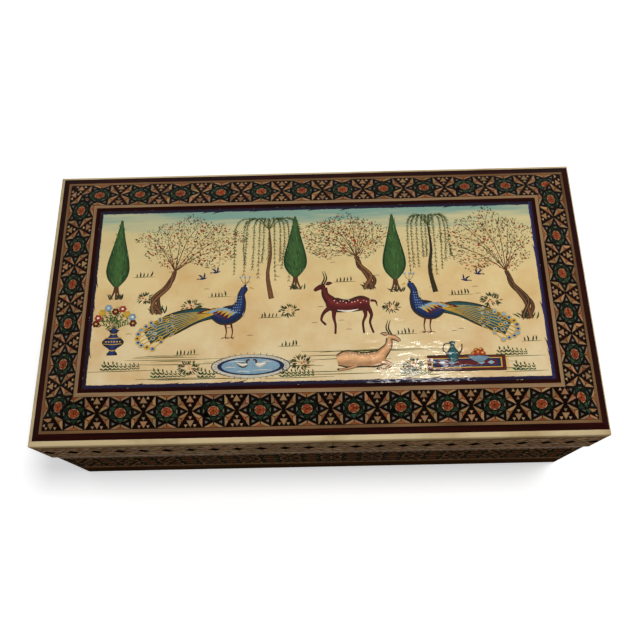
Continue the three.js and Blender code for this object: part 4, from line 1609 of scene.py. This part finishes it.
def resting_gazelle(brush, coat):
    """A gazelle lying down, drawn facing right."""
    body = [(-8.6, 3.6), (-5.4, 4.0), (0, 3.6), (4.4, 3.9), (6.6, 4.9)]
    brush.shaded(body, [1.8, 3.0, 2.5, 2.8, 1.9], coat, 2.6, 1.75, 20)
    leg(brush, coat, (-5.6, 3), (-2.4, 1.7), (-5.8, 0.6), (-8.4, 0.5))
    leg(brush, coat, (5.4, 3), (8.8, 1.9), (7.4, 0.7), (4.4, 0.5))
    brush.shaded([(5.6, 5), (8.2, 8), (8.8, 10.8)], [2.0, 1.25, 0.85], coat, 3, 1.6)
    gazelle_head(brush, coat, 8.8, 11.4)
    back_spots(brush, -7.4, 13, 5.4, 0.6)


def vase(brush, glaze, trim):
    """A footed vase, whose half width follows a turned outline, with stems and round flowers."""
    profile = [1.9, 1.7, 0.9, 1.6, 3.0, 3.9, 4.0, 3.2, 1.8, 1.2, 1.3, 2.1]
    random = brush.random
    palette = ("maroon", "blue", "yellow", "blossom")
    mouth = 9.4
    for k, angle in enumerate(np.linspace(0.4, math.pi - 0.4, 9)):
        reach = 6.4 + 2.4 * math.sin(angle) + random.normal(0, 0.7)
        end = np.array([reach * math.cos(angle), mouth + reach * math.sin(angle)])
        bend = (0.35 * reach * math.cos(angle), mouth + 0.6 * reach * math.sin(angle))
        stem = curve([(0, 9), bend, end], 10)
        brush.lines(stem, np.linspace(0.14, 0.09, 10), "deep_leaf", 1)
        brush.leaves(stem[3:9], angle + random.choice([-0.9, 0.9], 6), 1.5, "leaf", 2, 0.2)
        petals = end + polar(0.9, np.arange(6) * 1.047)
        brush.dots(petals, 0.6, (palette[k % 4], 0.75), 3)
        brush.dots(petals, 0.42, palette[k % 4], 3.6)
        brush.dots([end], 0.5, "white" if k % 2 else "yellow", 4.4)
    brush.shaded([(0, -0.2), (0, 4.8), (0, 9.8)], profile, glaze, 3, 2.1, 28)
    for height, half in ((1.5, 1.0), (4.0, 3.5), (6.4, 3.1), (8.0, 1.2)):
        brush.line([(-half, height + 0.3), (0, height), (half, height + 0.3)], [0.14, 0.2, 0.14], trim, 5, 10)
    brush.dots([(x, 5.1) for x in np.linspace(-2.6, 2.6, 6)], 0.36, trim, 5)


def pool(brush):
    """An oval pool with a stone rim, ripples and two ducks."""
    angle = np.linspace(0.1, math.pi - 0.1, 26)
    for grow, tint, layer in (
        (1.17, "ink", 0.8), (1.14, ("white", 0.72), 1.4), (0.99, "ink", 1.8), (0.95, "navy", 2.2),
        (0.86, "blue", 2.6)
    ):
        spine = pairs(-10 * grow * np.cos(angle), 0 * angle)
        brush.lines(spine, 3.3 * grow * np.sin(angle), tint, layer)
    turn = np.linspace(0, 2 * math.pi, 34, endpoint=False)
    brush.leaves(polar(1, turn) * (10.05, 3.45), turn, 0.9, "ink", 2.2, 0.09)
    for x, y, reach in ((-4, 1.3, 2.5), (3.4, -1.4, 3), (-2.4, -1.7, 2), (5, 1.2, 1.8), (-6, -0.4, 1.6)):
        brush.line([(x - reach, y), (x, y + 0.2), (x + reach, y)], [0.04, 0.13, 0.04], "white", 3, 8)
    for x, way in ((-2.4, 1), (2.8, -1)):
        body = [(x - 1.6 * way, 0.9), (x, 0.3), (x + 1.3 * way, 0.6)]
        brush.shaded(body, [0.25, 0.85, 0.5], "white", 3.4, 1.2, 10, 0.12, 3)
        neck = [(x + 1.2 * way, 0.8), (x + 1.3 * way, 1.8), (x + 2.1 * way, 1.9)]
        brush.line(neck, [0.34, 0.28, 0.24], "maroon", 4.6, 6)


def rug(brush):
    """A small rug seen from the side, with stripes, lozenges and a fringe, and a ewer and a bowl on it."""
    for half, reach, tint, layer in (
        (2.75, 12.2, "ink", 1), (2.55, 12, "maroon", 1.5), (1.9, 11, "yellow", 2), (1.6, 10.6, "navy", 2.5),
        (0.9, 9.4, "maroon", 3)
    ):
        brush.line([(-reach, 0), (0, 0), (reach, 0)], [half, half], tint, layer, 4)
    lozenges = [[(x - 1.1, 0), (x, 0), (x + 1.1, 0)] for x in np.linspace(-7.6, 7.6, 6)]
    brush.lines(lozenges, [0.05, 0.75, 0.05], "blue", 3.6)
    for way, heading in ((-1, math.pi), (1, 0)):
        feet = pairs(np.full(12, 12.1 * way), np.linspace(-2.4, 2.4, 12))
        brush.leaves(feet, [heading] * 12, 1.2, "yellow", 1, 0.11)
    ewer = [1.2, 1.5, 2.0, 1.9, 1.2, 0.6, 0.5, 0.9]
    brush.shaded([(-4, 0.4), (-4, 3.8), (-4, 7)], ewer, "teal", 4, 1.8, 20)
    brush.line([(-2.4, 2.6), (-1.2, 4.4), (-1.0, 6.2)], [0.4, 0.24, 0.18], "ink", 4.4, 8)
    brush.line([(-5.4, 2.8), (-7.0, 4.2), (-6.4, 6.2), (-4.7, 6.5)], [0.18, 0.2, 0.2, 0.18], "ink", 4.4)
    brush.dots([(2.4, 2.9), (4.0, 3.2), (5.4, 2.9), (3.3, 4.0), (4.8, 4.1)], 0.85, "blossom", 4)
    brush.dots([(2.2, 3.1), (3.8, 3.5), (5.2, 3.2), (3.1, 4.3), (4.6, 4.4)], 0.4, "yellow", 4.6)
    brush.shaded([(0.9, 1.7), (4, 1.2), (7.1, 1.7)], [0.25, 1.25, 0.25], "blue", 5, 1.5, 14, 0.14, 3)


def flying_bird(brush):
    """A small bird with raised wings and a forked tail, drawn facing right."""
    brush.line([(-1.3, -0.1), (0, 0), (1.4, 0.3)], [0.1, 0.38, 0.12], "navy", 2, 8)
    brush.leaves([(0.1, 0.1), (0.3, 0.1)], [2.3, 1.3], 2.2, "navy", 2.4, 0.15)
    brush.leaves([(-1.2, -0.1)] * 2, [3.0, 3.4], 0.9, "maroon", 2, 0.13)


class BOX_OT_animals(bpy.types.Operator):
    """Paint the peacocks, gazelles, birds, vase, pool and rug"""

    bl_idname = "cigarette_box.animals"
    bl_label = "Painted animals"

    def execute(self, context):
        brush = Brush(context.scene.box_paint, 3)
        peacock(brush.at(-27, -14, 0.94))
        peacock(brush.at(34, -13.5, 0.92, -1))
        gazelle(brush.at(9.5, -13.5, 0.86, -1), "maroon")
        resting_gazelle(brush.at(13.5, -24.8, 0.88), "peach")
        vase(brush.at(-59.5, -18.5, 0.78), "navy", "yellow")
        pool(brush.at(-19, -22.8, 0.98))
        rug(brush.at(43, -23.2, 0.92))
        for x, y, facing in ((-34, 5, 1), (-30, 7, 1), (49, 4.6, -1), (45, 2.6, -1)):
            flying_bird(brush.at(x, y, 0.9, facing))
        brush.piece("painted_animals", paint_finish())
        return {"FINISHED"}


class BOX_OT_plants(bpy.types.Operator):
    """Paint the shrubs, tufts, ferns and grass lines"""

    bl_idname = "cigarette_box.plants"
    bl_label = "Painted plants"

    def execute(self, context):
        brush = Brush(context.scene.box_paint, 4)
        shrubs = (
            (-37, -4, 1.1), (22.5, -5.5, 0.9), (-8, -6, 1.0), (52, -4, 1.1), (-51, -1, 0.9), (-4.5, -22, 1.1),
            (28, -23.5, 1.0), (-37, -23, 1.1)
        )
        tufts = (
            (-29, -1, 5), (8.5, 3, 5), (-52, 6, 5), (43, -2, 6), (-14, -8, 5), (26, -14, 5), (-62, -8, 5),
            (62, -17, 4), (-8, -17, 5), (-38, -19, 6)
        )
        ferns = (
            (-56, -23.5, 9), (-42, -26, 8), (-31, -26.3, 4), (-5, -26.5, 8), (29, -26.5, 7), (57, -21.5, 7),
            (60, -26, 5)
        )
        for paint, places in ((shrub, shrubs), (tuft, tufts), (fern, ferns)):
            for x, y, size in places:
                paint(brush.at(x, y), size)
        random = brush.random
        for _ in range(26):
            reach = random.uniform(6, 16)
            x, y = random.uniform(reach - 64, 64 - reach), random.uniform(-26.8, -18.5)
            bow = random.uniform(-0.4, 0.4)
            brush.at(x, y).line([(-reach, 0), (0, bow), (reach, 0)], [0.04, 0.13, 0.04], "olive", 0.6, 14)
        for _ in range(34):
            x, y = random.uniform(-62, 62), random.uniform(-14, 14)
            brush.at(x, y).line([(-0.9, 0), (0, 0.1), (0.9, 0)], [0.04, 0.09, 0.04], "bark", 0.8, 5)
        brush.piece("painted_plants", paint_finish())
        return {"FINISHED"}


# Stage


class BOX_OT_stage(bpy.types.Operator):
    """Set the floor, the soft lamp and the narrow one, the plain sky and the camera"""

    bl_idname = "cigarette_box.stage"
    bl_label = "Stage"

    def execute(self, context):
        settings = context.scene.box_stage
        self.floor(settings)
        width = depth = settings.lamp_size
        soft = self.lamp("soft_lamp", settings.lamp_place, width, depth, settings.lamp_power)
        soft.visible_glossy = False
        width, depth = settings.strip_length, settings.strip_width
        self.lamp("strip_lamp", settings.strip_place, width, depth, settings.strip_power)
        self.sky(settings)
        self.camera(settings)
        context.scene.view_settings.view_transform = "Standard"
        return {"FINISHED"}

    def floor(self, settings):
        """A flat square of floor, just below the box."""
        reach, below = 6.0, 0.1 * MM
        points = np.column_stack([corners(-reach, reach, -reach, reach), np.full(4, -below)])
        floor = add_object("floor", mesh_of("floor", points, [np.array([[0, 1, 2, 3]])]))
        floor.data.materials.append(floor_finish(settings))

    def lamp(self, name, place, width, depth, power):
        """An oval lamp of a width and a depth, tipped towards the box so that its width stays level."""
        light = bpy.data.lights.new(name, "AREA")
        light.shape = "ELLIPSE"
        light.size, light.size_y = width, depth
        light.energy = power
        light.color = (1.0, 0.98, 0.95)
        lamp = add_object(name, light)
        lamp.location = place
        lamp.rotation_euler = (-math.atan2(place[1], place[2]), 0, 0)
        return lamp

    def sky(self, settings):
        """Plain light from all round. It shows as white to the camera, and in reflections as white walls
        under a dimmer ceiling."""
        world = bpy.data.worlds.new("plain_sky")
        world.use_nodes = True
        bpy.context.scene.world = world
        sky = Nodes(world.node_tree)
        height = sky.part(sky.add("TexCoord", {}).outputs["Generated"], "Z")
        ceiling_start, ceiling_full = 0.45, 0.7
        wall = sky.between(height, ceiling_start, ceiling_full, 1.0, 0.0)
        walls = sky.times(sky.any_ray(0.0, "Is Glossy Ray"), wall)
        seen = sky.any_ray(walls, "Is Camera Ray", "Is Transmission Ray")
        strength = sky.between(seen, 0.0, 1.0, settings.sky_level, 1.0)
        sky.feed(world.node_tree.nodes["Background"], {"Color": (1, 1, 1), "Strength": strength})

    def camera(self, settings):
        """The camera, at the place and turn of the settings."""
        lens = bpy.data.cameras.new("camera")
        lens.sensor_width = 36
        lens.lens = settings.lens
        lens.clip_start = 0.01
        camera = add_object("camera", lens)
        camera.location = settings.camera_place
        camera.rotation_euler = settings.camera_turn
        bpy.context.scene.camera = camera


OPERATORS = (
    BOX_OT_stage, BOX_OT_boards, BOX_OT_star_bands, BOX_OT_side_bands, BOX_OT_strips, BOX_OT_hinges,
    BOX_OT_ground, BOX_OT_trees, BOX_OT_animals, BOX_OT_plants,
)
GROUPS = {
    "box_inlay": InlaySettings,
    "box_strips": StripSettings,
    "box_paint": PaintSettings,
    "box_stage": StageSettings,
}


class BOX_PT_pieces(bpy.types.Panel):
    """Lists the box's settings and the operators that make its pieces"""

    bl_idname = "BOX_PT_pieces"
    bl_label = "Inlaid cigarette box"
    bl_space_type = "VIEW_3D"
    bl_region_type = "UI"
    bl_category = "Box"

    def draw(self, context):
        for name, group in GROUPS.items():
            settings = getattr(context.scene, name)
            column = self.layout.column(align=True)
            for label in group.__annotations__:
                column.prop(settings, label)
        for operator in OPERATORS:
            self.layout.operator(operator.bl_idname)


CLASSES = (*GROUPS.values(), *OPERATORS, BOX_PT_pieces)


def register():
    """Registers the classes and hangs each group of settings on the scene."""
    for thing in CLASSES:
        bpy.utils.register_class(thing)
    for name, group in GROUPS.items():
        setattr(bpy.types.Scene, name, PointerProperty(type=group))


def unregister():
    """Takes the settings and the classes away again."""
    for name in GROUPS:
        delattr(bpy.types.Scene, name)
    for thing in reversed(CLASSES):
        bpy.utils.unregister_class(thing)


def write_sizes():
    """Updates the view layer."""
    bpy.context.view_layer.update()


def main():
    """Makes everything in order."""
    register()
    make = bpy.ops.cigarette_box
    make.stage()
    make.boards()
    make.star_bands()
    make.side_bands()
    make.strips()
    make.hinges()
    make.ground()
    make.trees()
    make.animals()
    make.plants()
    write_sizes()


if __name__ == "__main__":
    main()
